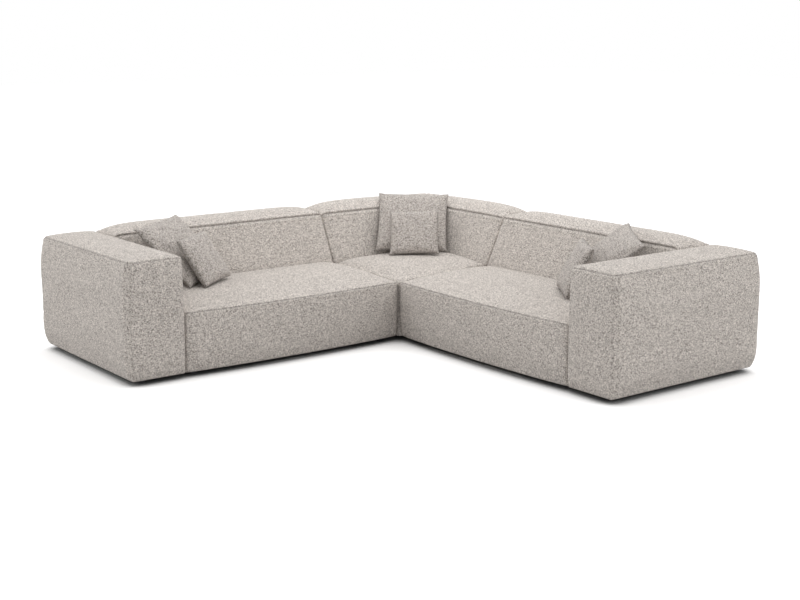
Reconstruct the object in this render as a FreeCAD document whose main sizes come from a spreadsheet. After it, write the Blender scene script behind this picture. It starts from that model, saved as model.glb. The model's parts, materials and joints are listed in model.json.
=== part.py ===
import FreeCAD, Part
import functools
import math
import os
import re
from FreeCAD import Placement, Rotation, Vector

# A corner sofa of three modules on low glides: a square corner module and two mirrored wings,
# each wing with one arm. Every module has a timber base with zigzag springs, a plywood back with
# webbing, foam, quilted covers and a dust cover. Six loose cushions stand on the seats.
# The origin is on the floor under the middle of the square plan. +Z is up. The corner is at +X +Y.
# The left wing runs along X, with its back at +Y. The right wing is its mirror in the plane X = Y.

doc = FreeCAD.newDocument("corner_sofa")
sheet = doc.addObject("Spreadsheet::Sheet", "Sizes")

# Driving dimensions, in millimetres and degrees
SIZES = {
    # plan
    "side_length": 2800, "module_depth": 1082, "arm_width": 314,
    "module_gap": 3, "panel_gap": 2,
    # heights
    "frame_base": 28, "cover_base": 25, "arm_height": 652, "back_height": 653,
    "seat_height": 355,
    # upholstered shapes
    "side_puff": 25, "arm_front_puff": 12, "hem_tuck": 8, "arm_crown": 17, "edge_draw": 6,
    "edge_fall": 60, "corner_round": 45,
    "back_top_depth": 294, "back_seat_depth": 425, "back_bend": 375, "back_crown": 57,
    "back_front_puff": 8, "corner_crown_fall": 0.33,
    "seat_front_bow": 31, "seat_bow_power": 0.7, "seat_front_puff": 10, "seat_front_round": 16,
    "seat_rise": 36, "seat_crown": 30, "corner_front_rise": 34, "corner_rear_rise": 31,
    "corner_rear_slant": 14, "corner_seat_fall": 0.35,
    # covers, foam and fits
    "cover_thickness": 12, "fit": 0.4, "back_foam_front": 55, "back_foam_top": 45,
    "arm_foam_side": 12, "arm_foam_top": 40,
    # timber
    "rail": 25, "rail_height": 170, "brace_height": 90, "block": 80, "block_height": 30,
    "ply": 18, "slat_width": 45, "low_rail_inset": 20, "corner_panel_clear": 15,
    "mid_rail_ahead": 10,
    # springs, clips and webbing
    "spring_wire": 3.6, "spring_loop": 20, "spring_half_width": 24, "spring_spacing": 150,
    "spring_lead": 9, "wire_clear": 0.1, "wire_inset": 2,
    "clip_width": 22, "clip_length": 18, "clip_height": 8, "clip_roof": 1.6, "clip_inset": 3,
    "webbing_width": 55, "webbing_thickness": 2, "webbing_rows": 5,
    # feet and their screws
    "foot_radius": 25, "foot_edge": 3, "foot_recess_radius": 9, "foot_recess_depth": 10,
    "hole_clear": 0.2, "thread_clear": 0.05, "screw_radius": 2.5, "screw_head_radius": 6,
    "screw_head_height": 3, "screw_length": 38,
    # how far a cutting tool runs past what it cuts
    "bore_past": 1,
    # bolts between arm and seat frames
    "bolt_radius": 4, "bolt_head_radius": 7.5, "bolt_head_height": 5.5, "bolt_spare": 11,
    "nut_height": 6.5, "bolt_rise": 30, "pad_width": 120, "pad_height": 100, "pad_base": 65,
    "mount_inset": 130, "window_margin": 2,
    # brackets that hold neighbouring modules together
    "bracket_width": 60, "bracket_height": 60, "bracket_base": 62, "bracket_plate": 3,
    "bracket_lip": 4, "bracket_play": 0.4, "bracket_overlap": 28, "bracket_travel": 70,
    "bracket_drop": 2,
    # dust cover
    "dust_cover": 1,
    # loose cushions
    "large_side": 459, "large_half_thickness": 55, "large_draw": 14,
    "small_side": 317, "small_half_thickness": 42, "small_draw": 10,
    "cushion_cloth": 3, "cushion_corner_cloth": 9, "cushion_rest": 0.4,
    "large_lean_gap": 0.9, "small_lean_gap": 2.7,
    # where each large cushion stands and how it leans
    "wing_cushion_ahead": 260, "corner_cushion_ahead": 240,
    "left_large_across": 443, "left_large_heading": 29, "left_large_lean": 47,
    "left_large_roll": 4.5,
    "right_large_across": 490, "right_large_heading": 27, "right_large_lean": 51,
    "right_large_roll": 11,
    "corner_large_across": -4, "corner_large_heading": -39, "corner_large_lean": 44,
    "corner_large_roll": -1,
    # each small cushion, its shift to the side from the middle of the large one behind it
    "left_small_shift": -36, "left_small_heading": 31, "left_small_lean": 33.5,
    "left_small_roll": 3,
    "right_small_shift": -92, "right_small_heading": 34, "right_small_lean": 27,
    "right_small_roll": 1.5,
    "corner_small_shift": 16, "corner_small_heading": -43, "corner_small_lean": 36.5,
    "corner_small_roll": 3,
}

for row, (alias, number) in enumerate(SIZES.items(), start=1):
    sheet.set(f"A{row}", str(number))
    sheet.setAlias(f"A{row}", alias)
doc.recompute()

# Places that follow from the driving dimensions, as expressions of the sheet
PLACES = {
    "half": "side_length / 2",
    "front": "half - module_depth",
    "arm_inner": "arm_width - half",
    "seat_back": "half - back_seat_depth",
    "back_top_front": "half - back_top_depth",
    "skin": "cover_thickness + fit",
    "wing_x0": "arm_inner + panel_gap / 2",
    "wing_x1": "front - module_gap / 2",
    "corner_x0": "front + module_gap / 2",
    "wing_frame_x0": "wing_x0 + skin",
    "wing_frame_x1": "wing_x1 - skin",
    "corner_frame_x0": "corner_x0 + skin",
    "frame_front": "front + edge_draw + skin",
    "frame_rear": "half - hem_tuck - skin",
    "frame_top": "frame_base + rail_height",
    "deck": "frame_top + clip_height + fit",
    "mid_rail": "seat_back - mid_rail_ahead",
    "spring_height": "frame_top + clip_height - clip_roof - spring_wire / 2 - hole_clear",
    # back frame, a leaning front over the base
    "back_frame_top": "back_height - skin - back_foam_top",
    "back_slope": "(back_top_front - seat_back) / (back_height - back_bend)",
    "back_front_at_top": "back_top_front - back_slope * (back_height - back_frame_top)",
    "back_skin": "skin * sqrt(1 + back_slope ^ 2)",
    "back_frame_low": "seat_back + panel_gap / 2 + skin + back_foam_front",
    "back_frame_high": "back_front_at_top + back_skin + back_foam_front",
    # arm
    "arm_cavity_x0": "hem_tuck + cover_thickness - half",
    "arm_cavity_x1": "arm_inner - panel_gap / 2 - cover_thickness",
    "arm_cavity_y0": "front + cover_thickness",
    "arm_cavity_y1": "half - hem_tuck - cover_thickness",
    "arm_cavity_top": "arm_height - cover_thickness",
    "arm_frame_x0": "arm_cavity_x0 + fit + arm_foam_side",
    "arm_frame_x1": "arm_cavity_x1 - fit",
    "arm_frame_y0": "arm_cavity_y0 + fit + arm_foam_side",
    "arm_frame_y1": "arm_cavity_y1 - fit - arm_foam_side",
    "arm_frame_top": "arm_cavity_top - fit - arm_foam_top",
    # bolted pads and brackets, one near the front and one near the rear of each module
    "mount_front": "frame_front + rail + mount_inset",
    "mount_rear": "frame_rear - rail - mount_inset",
    "bracket_top": "bracket_base + bracket_height",
}


def expand(text):
    """Writes an expression of the names above with the sheet's own cell names."""
    def swap(match):
        word = match.group(0)
        if word in PLACES:
            return "(" + expand(PLACES[word]) + ")"
        return "Sizes." + word if word in SIZES else word
    return re.sub(r"[a-z_][a-z_0-9]*", swap, str(text))


@functools.lru_cache(maxsize=None)
def size(text):
    """The number that an expression of the sheet gives."""
    return float(sheet.evalExpression(expand(text)))


def bind(thing, **properties):
    for path, text in properties.items():
        thing.setExpression(path.replace("__", "."), expand(text))
    return thing


def place(thing, x, y, z):
    return bind(thing, Placement__Base__x=x, Placement__Base__y=y, Placement__Base__z=z)


def box(name, x, y, z):
    """A box between two places on each axis, given as pairs of expressions."""
    made = doc.addObject("Part::Box", name)
    bind(made, Length=f"({x[1]}) - ({x[0]})", Width=f"({y[1]}) - ({y[0]})",
         Height=f"({z[1]}) - ({z[0]})")
    return place(made, x[0], y[0], z[0])


def cylinder(name, radius, height, x, y, z):
    made = doc.addObject("Part::Cylinder", name)
    bind(made, Radius=radius, Height=height)
    return place(made, x, y, z)


def rod_along_x(name, radius, length, x, y, z):
    made = cylinder(name, radius, length, x, y, z)
    made.Placement.Rotation = Rotation(Vector(0, 1, 0), 90)
    return made


def fuse(name, parts):
    made = doc.addObject("Part::MultiFuse", name)
    made.Shapes = parts
    made.Refine = True
    return made


def compound(name, parts):
    made = doc.addObject("Part::Compound", name)
    made.Links = parts
    return made


def cut(name, base, tools):
    made = doc.addObject("Part::Cut", name)
    made.Base = base
    made.Tool = tools[0] if len(tools) == 1 else compound(name + "_holes", tools)
    return made


def mirror(name, source):
    """The same piece on the other wing, mirrored in the plane X = Y."""
    made = doc.addObject("Part::Mirroring", name)
    made.Source = source
    made.Normal = Vector(1, -1, 0)
    return made


def feature(name, shape):
    made = doc.addObject("Part::Feature", name)
    made.Shape = shape
    return made


SUB_PARTS = []


def keep(name, thing):
    """Names a finished sub-part. Its label is the name of its node and file."""
    thing.Label = name
    SUB_PARTS.append(thing)
    return thing


def keep_both(name, thing):
    """Names a piece of the left wing and makes its mirrored twin on the right wing."""
    keep("left_" + name, thing)
    keep("right_" + name, mirror("right_" + name, thing))


# Numbers that the upholstered shapes use
HALF, FRONT = size("half"), size("front")
ARM_INNER, SEAT_BACK = size("arm_inner"), size("seat_back")
COVER, FIT, SKIN = size("cover_thickness"), size("fit"), size("skin")
GAP = size("panel_gap")
TUCK, PUFF, DRAW = size("hem_tuck"), size("side_puff"), size("edge_draw")
COVER_BASE, DECK = size("cover_base"), size("deck")
FIRST_STEP, STEP_GROWTH, LAST_STEP = 18.0, 1.5, 140.0
DRAW_LENGTH = 22.0
END_FULLNESS = 0.1
# How far a tool that cuts runs past the face that it opens, a little or well clear
PAST, FAR_PAST = 5.0, 50.0
OPEN_BASE = COVER_BASE - 2 * PAST


def fullness(run):
    """How far the crown has risen at a distance from the end of a panel, up to 1."""
    return 1 - (1 - END_FULLNESS) * math.exp(-max(run, 0.0) / size("edge_fall"))


def pull(run):
    """How far the cover is drawn in towards the crease at its end."""
    return DRAW * math.exp(-run / DRAW_LENGTH)


def arc(start, middle, end):
    return Part.Arc(start, middle, end).toShape()


def line(start, end):
    return Part.LineSegment(start, end).toShape()


def bowed(start, end, height):
    """An arc whose middle stands off its chord by a height, to the left of the way it runs."""
    chord = end - start
    normal = Vector(0, -chord.z, chord.y)
    normal.normalize()
    return arc(start, (start + end) * 0.5 + normal * height, end)


def loft(wires):
    return Part.makeLoft(wires, True, False)


def stations(start, end, two_ends=True):
    """Places along a panel, close together near its ends, where the crown changes most."""
    length = (end - start) / 2 if two_ends else end - start
    steps, step = [0.0], FIRST_STEP
    while steps[-1] + step < length - FIRST_STEP:
        steps.append(steps[-1] + step)
        step = min(step * STEP_GROWTH, LAST_STEP)
    if not two_ends:
        return [start + step for step in steps] + [end]
    return [start + step for step in steps] + [start + length] + [end - step for step in steps[::-1]]


def slab(x, y, z):
    """A plain block between two places on each axis."""
    return Part.makeBox(x[1] - x[0], y[1] - y[0], z[1] - z[0], Vector(x[0], y[0], z[0]))


# Seat shapes, drawn as profiles in Y and Z and lofted along X
SEAM, RISE, CROWN = size("seat_height"), size("seat_rise"), size("seat_crown")
SEAT_REAR = SEAT_BACK - GAP / 2


def seat_profile(x, front_y, front_z, rear_z, crown, puff, inset, base):
    """One profile: a bowed front, a rounded front edge, a crowned top and a flat rear."""
    turn = size("seat_front_round")
    front_y, rear_y = front_y + inset, SEAT_REAR - inset
    front_z, rear_z = front_z - inset, rear_z - inset
    low = Vector(x, front_y + (TUCK if puff else 0), base)
    high = Vector(x, front_y, front_z - turn)
    over = Vector(x, front_y + turn, front_z)
    slack = turn * (1 - math.sqrt(0.5))
    rear = Vector(x, rear_y, rear_z)
    foot = Vector(x, rear_y, base)
    face = bowed(high, low, -puff).reversed() if puff else line(low, high)
    return Part.Wire([
        face,
        arc(high, Vector(x, front_y + slack, front_z - slack), over),
        bowed(over, rear, crown),
        line(rear, foot),
        line(foot, low)])


def crowned(line_of_seat, x, y):
    """The height of a crowned seat above a point of the plan."""
    front_y, low, high, crown = line_of_seat(x)
    start = front_y + size("seat_front_round")
    share = (y - start) / (SEAT_REAR - start)
    return low + (high - low) * share + 4 * crown * share * (1 - share)


def wing_seat_line(x, inset=0.0):
    """The front, the heights at front and rear and the crown of the wing's seat at a station."""
    x0, x1 = size("wing_x0") + inset, size("wing_x1") - inset
    run = min(x - x0, x1 - x)
    share = (x - x0) / (x1 - x0)
    bow = size("seat_front_bow") * max(4 * share * (1 - share), 0) ** size("seat_bow_power")
    full = fullness(run)
    if inset:
        return FRONT + DRAW, SEAM - DRAW, SEAM + RISE * full, CROWN * full
    return FRONT - bow + pull(run), SEAM - pull(run), SEAM + RISE * full, CROWN * full


def wing_seat(inset=0.0, base=COVER_BASE):
    """The wing's seat, or with an inset the room inside its cover, whose front is flat."""
    puff = 0 if inset else size("seat_front_puff")
    return loft([seat_profile(x, *wing_seat_line(x, inset), puff, inset, base)
                 for x in stations(size("wing_x0") + inset, size("wing_x1") - inset)])


def corner_seat_line(x, inset=0.0):
    """The same of the corner seat, which rises away from both of its open sides."""
    start, end = size("corner_x0") + inset, SEAT_REAR - inset
    along, full = (x - start) / (end - start), fullness(x - start)
    low = SEAM + size("corner_front_rise") * along - (DRAW if inset else pull(x - start))
    high = SEAM + size("corner_rear_rise") * full + size("corner_rear_slant") * along
    return size("corner_x0"), low, high, CROWN * full * (1 - size("corner_seat_fall") * along)


def corner_seat(inset=0.0, base=COVER_BASE):
    """The corner's seat, or with an inset the room inside its cover."""
    return loft([seat_profile(x, *corner_seat_line(x, inset), 0, inset, base)
                 for x in stations(size("corner_x0") + inset, SEAT_REAR - inset, False)])


# Back shapes, also profiles in Y and Z lofted along X
BACK_HEIGHT, BEND = size("back_height"), size("back_bend")
SLOPE, BACK_CROWN = size("back_slope"), size("back_crown")
BACK_FRONT = SEAT_BACK + GAP / 2
TOP_FRONT, FRAME_REAR = size("back_top_front"), size("frame_rear")
LEAN_SHARE = math.sqrt(1 + SLOPE ** 2)


def back_profile(x, full, draw, inset, base):
    """One profile: a puffed rear, a crowned top and a front that leans back from the seat."""
    top = BACK_HEIGHT - inset - draw
    rear_y = HALF - inset - draw if not inset else FRAME_REAR + SKIN - inset
    front_y = TOP_FRONT + inset * LEAN_SHARE + draw
    low_y = BACK_FRONT + inset
    rear_low = Vector(x, rear_y - (TUCK if not inset else 0), base)
    rear_top = Vector(x, rear_y, top)
    front_top = Vector(x, front_y, top)
    bend = Vector(x, low_y, BEND)
    low = Vector(x, low_y, base)
    rear = line(rear_low, rear_top)
    face = line(front_top, bend)
    if not inset:
        outermost = Vector(x, HALF + PUFF - draw, (base + top) / 2)
        rear = arc(rear_low, outermost, rear_top)
        face = bowed(front_top, bend, size("back_front_puff"))
    return Part.Wire([
        rear,
        bowed(rear_top, front_top, -BACK_CROWN * full),
        face,
        line(bend, low),
        line(low, rear_low)])


def back_block(x0, x1, inset=0.0, base=COVER_BASE, two_ends=True):
    """A length of back, or with an inset the room inside its cover."""
    wires = []
    x0, x1 = x0 + inset, x1 - inset
    for x in stations(x0, x1, two_ends):
        run = min(x - x0, x1 - x) if two_ends else x - x0
        full = fullness(run) if two_ends else corner_fullness(x)
        draw = pull(run) if not inset else DRAW
        wires.append(back_profile(x, full, draw, inset, base))
    return loft(wires)


def corner_fullness(x):
    """How full the crown of a corner back is, a little less towards the mitre."""
    start = size("corner_x0")
    share = (x - start) / (HALF - start)
    return fullness(x - start) * (1 - size("corner_crown_fall") * max(share, 0) ** 2)


def back_face(z, full):
    """Where the front of a back stands at a height, or None above its crown."""
    if z <= BEND:
        return BACK_FRONT
    puff = size("back_front_puff")
    if z <= BACK_HEIGHT:
        share = (z - BEND) / (BACK_HEIGHT - BEND)
        return SEAT_BACK + SLOPE * (z - BEND) - 4 * puff * share * (1 - share)
    rise = (z - BACK_HEIGHT) / (BACK_CROWN * full)
    if rise >= 1:
        return None
    return TOP_FRONT + size("back_top_depth") * (1 - math.sqrt(1 - rise)) / 2


# Arm shapes, profiles in X and Z lofted along Y
ARM_TOP = size("arm_height")


def arm_profile(y, full, draw):
    """One profile: a puffed outer side, a crowned top and a flat inner side."""
    top = ARM_TOP - draw
    inner = ARM_INNER - GAP / 2
    low = Vector(-HALF + TUCK, y, COVER_BASE)
    outermost = Vector(-HALF - PUFF + draw, y, (COVER_BASE + top) / 2)
    outer_top = Vector(-HALF + draw, y, top)
    inner_top = Vector(inner - draw, y, top)
    crown = Vector((outer_top.x + inner_top.x) / 2, y, top + size("arm_crown") * full)
    foot = Vector(inner - draw, y, COVER_BASE)
    return Part.Wire([
        arc(low, outermost, outer_top),
        arc(outer_top, crown, inner_top),
        line(inner_top, foot),
        line(foot, low)])


def arm_face(z, run):
    """Where the inner side of the arm stands at a height, or None above its crown."""
    if z <= ARM_TOP:
        return ARM_INNER
    rise = (z - ARM_TOP) / (size("arm_crown") * fullness(run))
    if rise >= 1:
        return None
    return ARM_INNER - size("arm_width") * (1 - math.sqrt(1 - rise)) / 2


def arm_outline():
    """The arm's side silhouette: front and rear faces that puff out between top and hem."""
    x = -HALF - PUFF - FAR_PAST
    depth = size("arm_width") + PUFF + 2 * FAR_PAST
    middle = (COVER_BASE + ARM_TOP) / 2
    top = ARM_TOP + size("arm_crown") + PAST
    front_low = Vector(x, FRONT, COVER_BASE)
    front_top = Vector(x, FRONT, ARM_TOP)
    rear_low = Vector(x, HALF - TUCK, COVER_BASE)
    rear_top = Vector(x, HALF, ARM_TOP)
    wire = Part.Wire([
        arc(front_low, Vector(x, FRONT - size("arm_front_puff"), middle), front_top),
        line(front_top, Vector(x, FRONT, top)),
        line(Vector(x, FRONT, top), Vector(x, HALF, top)),
        line(Vector(x, HALF, top), rear_top),
        arc(rear_top, Vector(x, HALF + PUFF, middle), rear_low),
        line(rear_low, front_low)])
    return Part.Face(wire).extrude(Vector(depth, 0, 0))


def rounded_corner(x0, x1, y0, y1, at_x):
    """A tall block with one rounded upright edge, which trims an outer corner of the plan."""
    block = slab((x0, x1), (y0, y1), (-FAR_PAST, BACK_HEIGHT + BACK_CROWN + FAR_PAST))
    upright = [edge for edge in block.Edges
               if math.hypot(edge.CenterOfMass.x - at_x, edge.CenterOfMass.y - y1) < FIT]
    return block.makeFillet(size("corner_round"), upright)


def arm_block():
    """The whole arm as its cover shows it."""
    y0, y1 = FRONT - size("arm_front_puff"), HALF + PUFF
    wires = [arm_profile(y, fullness(min(y - y0, y1 - y)), pull(min(y - y0, y1 - y)))
             for y in stations(y0, y1)]
    corner = rounded_corner(-HALF - PUFF, ARM_INNER + PAST, y0 - PAST, HALF + PUFF, -HALF - PUFF)
    return loft(wires).common(arm_outline()).common(corner)


# Windows in the covers, where a bolted pad or a pair of brackets passes through
MARGIN = size("window_margin")
WINDOW_REACH = 3 * SKIN


def pad_windows(y_values):
    """Openings round the pads between the arm frame and the seat frame."""
    half_width = size("pad_width") / 2 + MARGIN
    low, high = size("pad_base") - MARGIN, size("pad_base + pad_height") + MARGIN
    x0, x1 = ARM_INNER - WINDOW_REACH, ARM_INNER + WINDOW_REACH
    return [slab((x0, x1), (y - half_width, y + half_width), (low, high)) for y in y_values]


def bracket_windows(y_values):
    """Openings round the brackets, tall enough for a wing to be lifted off."""
    half_width = size("bracket_width") / 2 + 2 * MARGIN
    low = size("bracket_base") - 2 * MARGIN
    high = size("bracket_top + bracket_travel") + MARGIN
    x0, x1 = FRONT - WINDOW_REACH, FRONT + WINDOW_REACH
    return [slab((x0, x1), (y - half_width, y + half_width), (low, high)) for y in y_values]


def swapped(shape):
    """A shape mirrored in the plane X = Y."""
    return shape.mirror(Vector(0, 0, 0), Vector(1, -1, 0))


MOUNTS = (size("mount_front"), size("mount_rear"))


# Covers and foam of a wing
def wing_seat_cover():
    x0, x1 = size("wing_x0") + COVER, size("wing_x1") - COVER
    room = wing_seat(COVER, OPEN_BASE)
    passage = slab((x0, x1), (SEAT_REAR - 2 * COVER, SEAT_REAR + PAST), (OPEN_BASE, DECK))
    windows = pad_windows(MOUNTS[:1]) + bracket_windows(MOUNTS[:1])
    return wing_seat().cut([room, passage] + windows)


def wing_seat_foam():
    room = wing_seat(SKIN, OPEN_BASE)
    return room.cut(slab((-2 * HALF, HALF), (0, 2 * HALF), (0, DECK)))


def wing_back_cover():
    x0, x1 = size("wing_x0"), size("wing_x1")
    room = back_block(x0, x1, COVER, OPEN_BASE)
    passage = slab((x0 + COVER, x1 - COVER), (BACK_FRONT - PAST, BACK_FRONT + 2 * COVER),
                   (OPEN_BASE, DECK))
    windows = pad_windows(MOUNTS[1:]) + bracket_windows(MOUNTS[1:])
    return back_block(x0, x1).cut([room, passage] + windows)


def back_frame_room(x0, x1, clear):
    """The space that the back frame and its webbing take out of the foam."""
    low_y, high_y = size("back_frame_low") - clear, size("back_frame_high") - clear
    base, top = size("frame_top"), size("back_frame_top") + FIT
    slope = (high_y - low_y) / (top - base)
    corners = [Vector(x0, low_y - slope * FAR_PAST, base - FAR_PAST), Vector(x0, high_y, top),
               Vector(x0, 2 * HALF, top), Vector(x0, 2 * HALF, base - FAR_PAST)]
    face = Part.Face(Part.makePolygon(corners + corners[:1]))
    return face.extrude(Vector(x1 - x0, 0, 0))


def back_foam(x0, x1, two_ends=True):
    room = back_block(x0, x1, SKIN, OPEN_BASE, two_ends)
    clear = size("webbing_thickness + fit")
    below = slab((x0 - PAST, 2 * HALF), (0, 2 * HALF), (0, DECK))
    return room.cut([back_frame_room(x0 - PAST, 2 * HALF, clear), below])


def arm_cover():
    room = slab((size("arm_cavity_x0"), size("arm_cavity_x1")),
                (size("arm_cavity_y0"), size("arm_cavity_y1")),
                (OPEN_BASE, size("arm_cavity_top")))
    return arm_block().cut([room] + pad_windows(MOUNTS))


# Covers and foam of the corner, the left half of its back and the mirrored right half
def mitre(clear):
    """The half of the plan on the left of the plane X = Y."""
    reach = 2 * HALF
    corners = [Vector(-clear, 0, 0), Vector(reach - clear, reach, 0), Vector(-reach, reach, 0),
               Vector(-reach, 0, 0)]
    return Part.Face(Part.makePolygon(corners + corners[:1])).extrude(Vector(0, 0, reach))


def corner_back_cover():
    x0, x1 = size("corner_x0"), HALF + PUFF + PAST
    block = back_block(x0, x1, two_ends=False)
    rounded = rounded_corner(x0 - PAST, HALF + PUFF, 0, HALF + PUFF, HALF + PUFF)
    room = back_block(x0, x1 + COVER, COVER, OPEN_BASE, False)
    limit = slab((0, FRAME_REAR + FIT), (0, 2 * HALF), (0, 2 * HALF))
    passage = slab((x0 + COVER, FRAME_REAR + FIT), (BACK_FRONT - PAST, BACK_FRONT + 2 * COVER),
                   (OPEN_BASE, DECK))
    windows = bracket_windows(MOUNTS[1:])
    whole = block.common(rounded).common(mitre(size("panel_gap") / 2))
    return whole.cut([room.common(limit), passage] + windows)


def corner_back_foam():
    x0 = size("corner_x0")
    limit = slab((0, FRAME_REAR), (0, 2 * HALF), (0, 2 * HALF))
    foam = back_foam(x0, HALF + PUFF + PAST + SKIN, two_ends=False)
    return foam.common(limit).common(mitre(size("panel_gap") / 2))


def corner_seat_cover():
    start, end = size("corner_x0"), SEAT_REAR
    room = corner_seat(COVER, OPEN_BASE)
    low, high = start + COVER, end - 2 * COVER
    along = slab((low, end + PAST), (high, end + PAST), (OPEN_BASE, DECK))
    across = slab((high, end + PAST), (low, end + PAST), (OPEN_BASE, DECK))
    windows = bracket_windows(MOUNTS[:1])
    windows += [swapped(window) for window in windows]
    return corner_seat().cut([room, along, across] + windows)


def corner_seat_foam():
    return corner_seat(SKIN, OPEN_BASE).cut(slab((0, HALF), (0, HALF), (0, DECK)))


# Zigzag springs, which run from the front rail to the rail under the back
WIRE = size("spring_wire") / 2
SPRING_Z = size("spring_height")


def zigzag(x, y0, y1):
    """One spring: straight cross runs joined by half turns, with straight ends in the clips."""
    loop, half_width = size("spring_loop"), size("spring_half_width")
    lead = size("clip_length + spring_lead")
    count = int((y1 - y0 - 2 * lead) / loop)
    count -= count % 2
    lead = (y1 - y0 - count * loop) / 2
    turn = loop / 2
    diagonal = turn * (1 - math.sqrt(0.5))
    reach = half_width - turn
    y, side = y0 + lead, 1
    edges = [
        line(Vector(x, y0, SPRING_Z), Vector(x, y - turn, SPRING_Z)),
        arc(Vector(x, y - turn, SPRING_Z), Vector(x + diagonal, y - diagonal, SPRING_Z),
            Vector(x + turn, y, SPRING_Z)),
        line(Vector(x + turn, y, SPRING_Z), Vector(x + reach, y, SPRING_Z))]
    for number in range(count):
        edges.append(arc(Vector(x + side * reach, y, SPRING_Z),
                         Vector(x + side * half_width, y + turn, SPRING_Z),
                         Vector(x + side * reach, y + loop, SPRING_Z)))
        y += loop
        stop = reach if number < count - 1 else -turn
        edges.append(line(Vector(x + side * reach, y, SPRING_Z),
                          Vector(x - side * stop, y, SPRING_Z)))
        side = -side
    start = edges[-1].Vertexes[-1].Point
    edges.append(arc(start, Vector(x + math.copysign(diagonal, start.x - x), y + diagonal, SPRING_Z),
                     Vector(x, y + turn, SPRING_Z)))
    edges.append(line(Vector(x, y + turn, SPRING_Z), Vector(x, y1, SPRING_Z)))
    path = Part.Wire(edges)
    ring = Part.Wire([Part.Circle(Vector(x, y0, SPRING_Z), Vector(0, 1, 0), WIRE).toShape()])
    return path.makePipeShell([ring], True, False)


def clip(x, y0):
    """A bent clip on a rail, bored for the wire."""
    width, length = size("clip_width"), size("clip_length")
    body = slab((x - width / 2, x + width / 2), (y0, y0 + length),
                (size("frame_top"), size("frame_top + clip_height")))
    bore = Part.makeCylinder(WIRE + size("wire_clear"), length + 2 * PAST,
                             Vector(x, y0 - PAST, SPRING_Z), Vector(0, 1, 0))
    return body.cut(bore)


def spring_places(x0, x1):
    """Even places across a frame, about one spring spacing apart."""
    count = max(2, round((x1 - x0) / size("spring_spacing")))
    return [x0 + (x1 - x0) * (number + 0.5) / count for number in range(count)]


def spring_set(x0, x1, y0):
    """The springs and clips of one seat, between a front place and the rail under the back."""
    front_clip = y0 + size("clip_inset")
    rear_clip = size("mid_rail + rail - clip_inset - clip_length")
    start = front_clip + size("wire_inset")
    end = rear_clip + size("clip_length - wire_inset")
    places = spring_places(x0, x1)
    springs = [zigzag(x, start, end) for x in places]
    clips = [clip(x, y) for x in places for y in (front_clip, rear_clip)]
    return Part.makeCompound(springs), Part.makeCompound(clips)


# Timber frames
FRAME_Z = ("frame_base", "frame_top")


def blocks(name, x_values, y_values):
    """Blocks in the frame that take the screws of the feet."""
    height = ("frame_base", "frame_base + block_height")
    return [box(f"{name}_{number}", (x, f"{x} + block"), (y, f"{y} + block"), height)
            for number, (x, y) in enumerate(zip(x_values, y_values))]


def foot_place(corner):
    return f"{corner} + block / 2"


def feet(name, corners):
    """A round glide under each block, with a recess for the head of its screw."""
    glides, screws, pilots = [], [], []
    for number, (x, y) in enumerate(corners):
        x, y = foot_place(x), foot_place(y)
        tag = f"{name}_{number}"
        disc = cylinder(f"{tag}_disc", "foot_radius", "frame_base - foot_edge", x, y, "foot_edge")
        sole = doc.addObject("Part::Cone", f"{tag}_sole")
        place(bind(sole, Radius1="foot_radius - foot_edge", Radius2="foot_radius",
                   Height="foot_edge"), x, y, "0")
        recess = cylinder(f"{tag}_recess", "foot_recess_radius", "foot_recess_depth", x, y, "0")
        bore = cylinder(f"{tag}_bore", "screw_radius + hole_clear", "frame_base", x, y, "0")
        glides.append(cut(f"{tag}_glide", fuse(f"{tag}_round", [disc, sole]), [recess, bore]))
        head = cylinder(f"{tag}_head", "screw_head_radius", "screw_head_height", x, y,
                        "foot_recess_depth - screw_head_height")
        shank = cylinder(f"{tag}_shank", "screw_radius", "screw_length", x, y, "foot_recess_depth")
        screws.append(fuse(f"{tag}_screw", [head, shank]))
        pilots.append(cylinder(f"{tag}_pilot", "screw_radius + thread_clear", "screw_length", x, y,
                               "foot_recess_depth + hole_clear"))
    return compound(f"{name}_glides", glides), compound(f"{name}_screws", screws), pilots


def bolt_holes(name, reach):
    """Bores of the bolts between arm and seat, from one X place to another."""
    holes = []
    for number, (y, z) in enumerate(bolt_places()):
        holes.append(rod_along_x(f"{name}_{number}", "bolt_radius + hole_clear",
                                 f"({reach[1]}) - ({reach[0]})", reach[0], y, z))
    return holes


def bolt_places():
    heights = ("pad_base + pad_height / 2 - bolt_rise", "pad_base + pad_height / 2 + bolt_rise")
    return [(y, z) for y in ("mount_front", "mount_rear") for z in heights]


WING_FEET = [("wing_frame_x0 + rail", "frame_front + rail"),
             ("wing_frame_x1 - rail - block", "frame_front + rail"),
             ("wing_frame_x0 + rail", "frame_rear - rail - block"),
             ("wing_frame_x1 - rail - block", "frame_rear - rail - block"),
             ("arm_frame_x0 + ply", "arm_frame_y0 + ply"),
             ("arm_frame_x0 + ply", "arm_frame_y1 - ply - block")]


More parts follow.
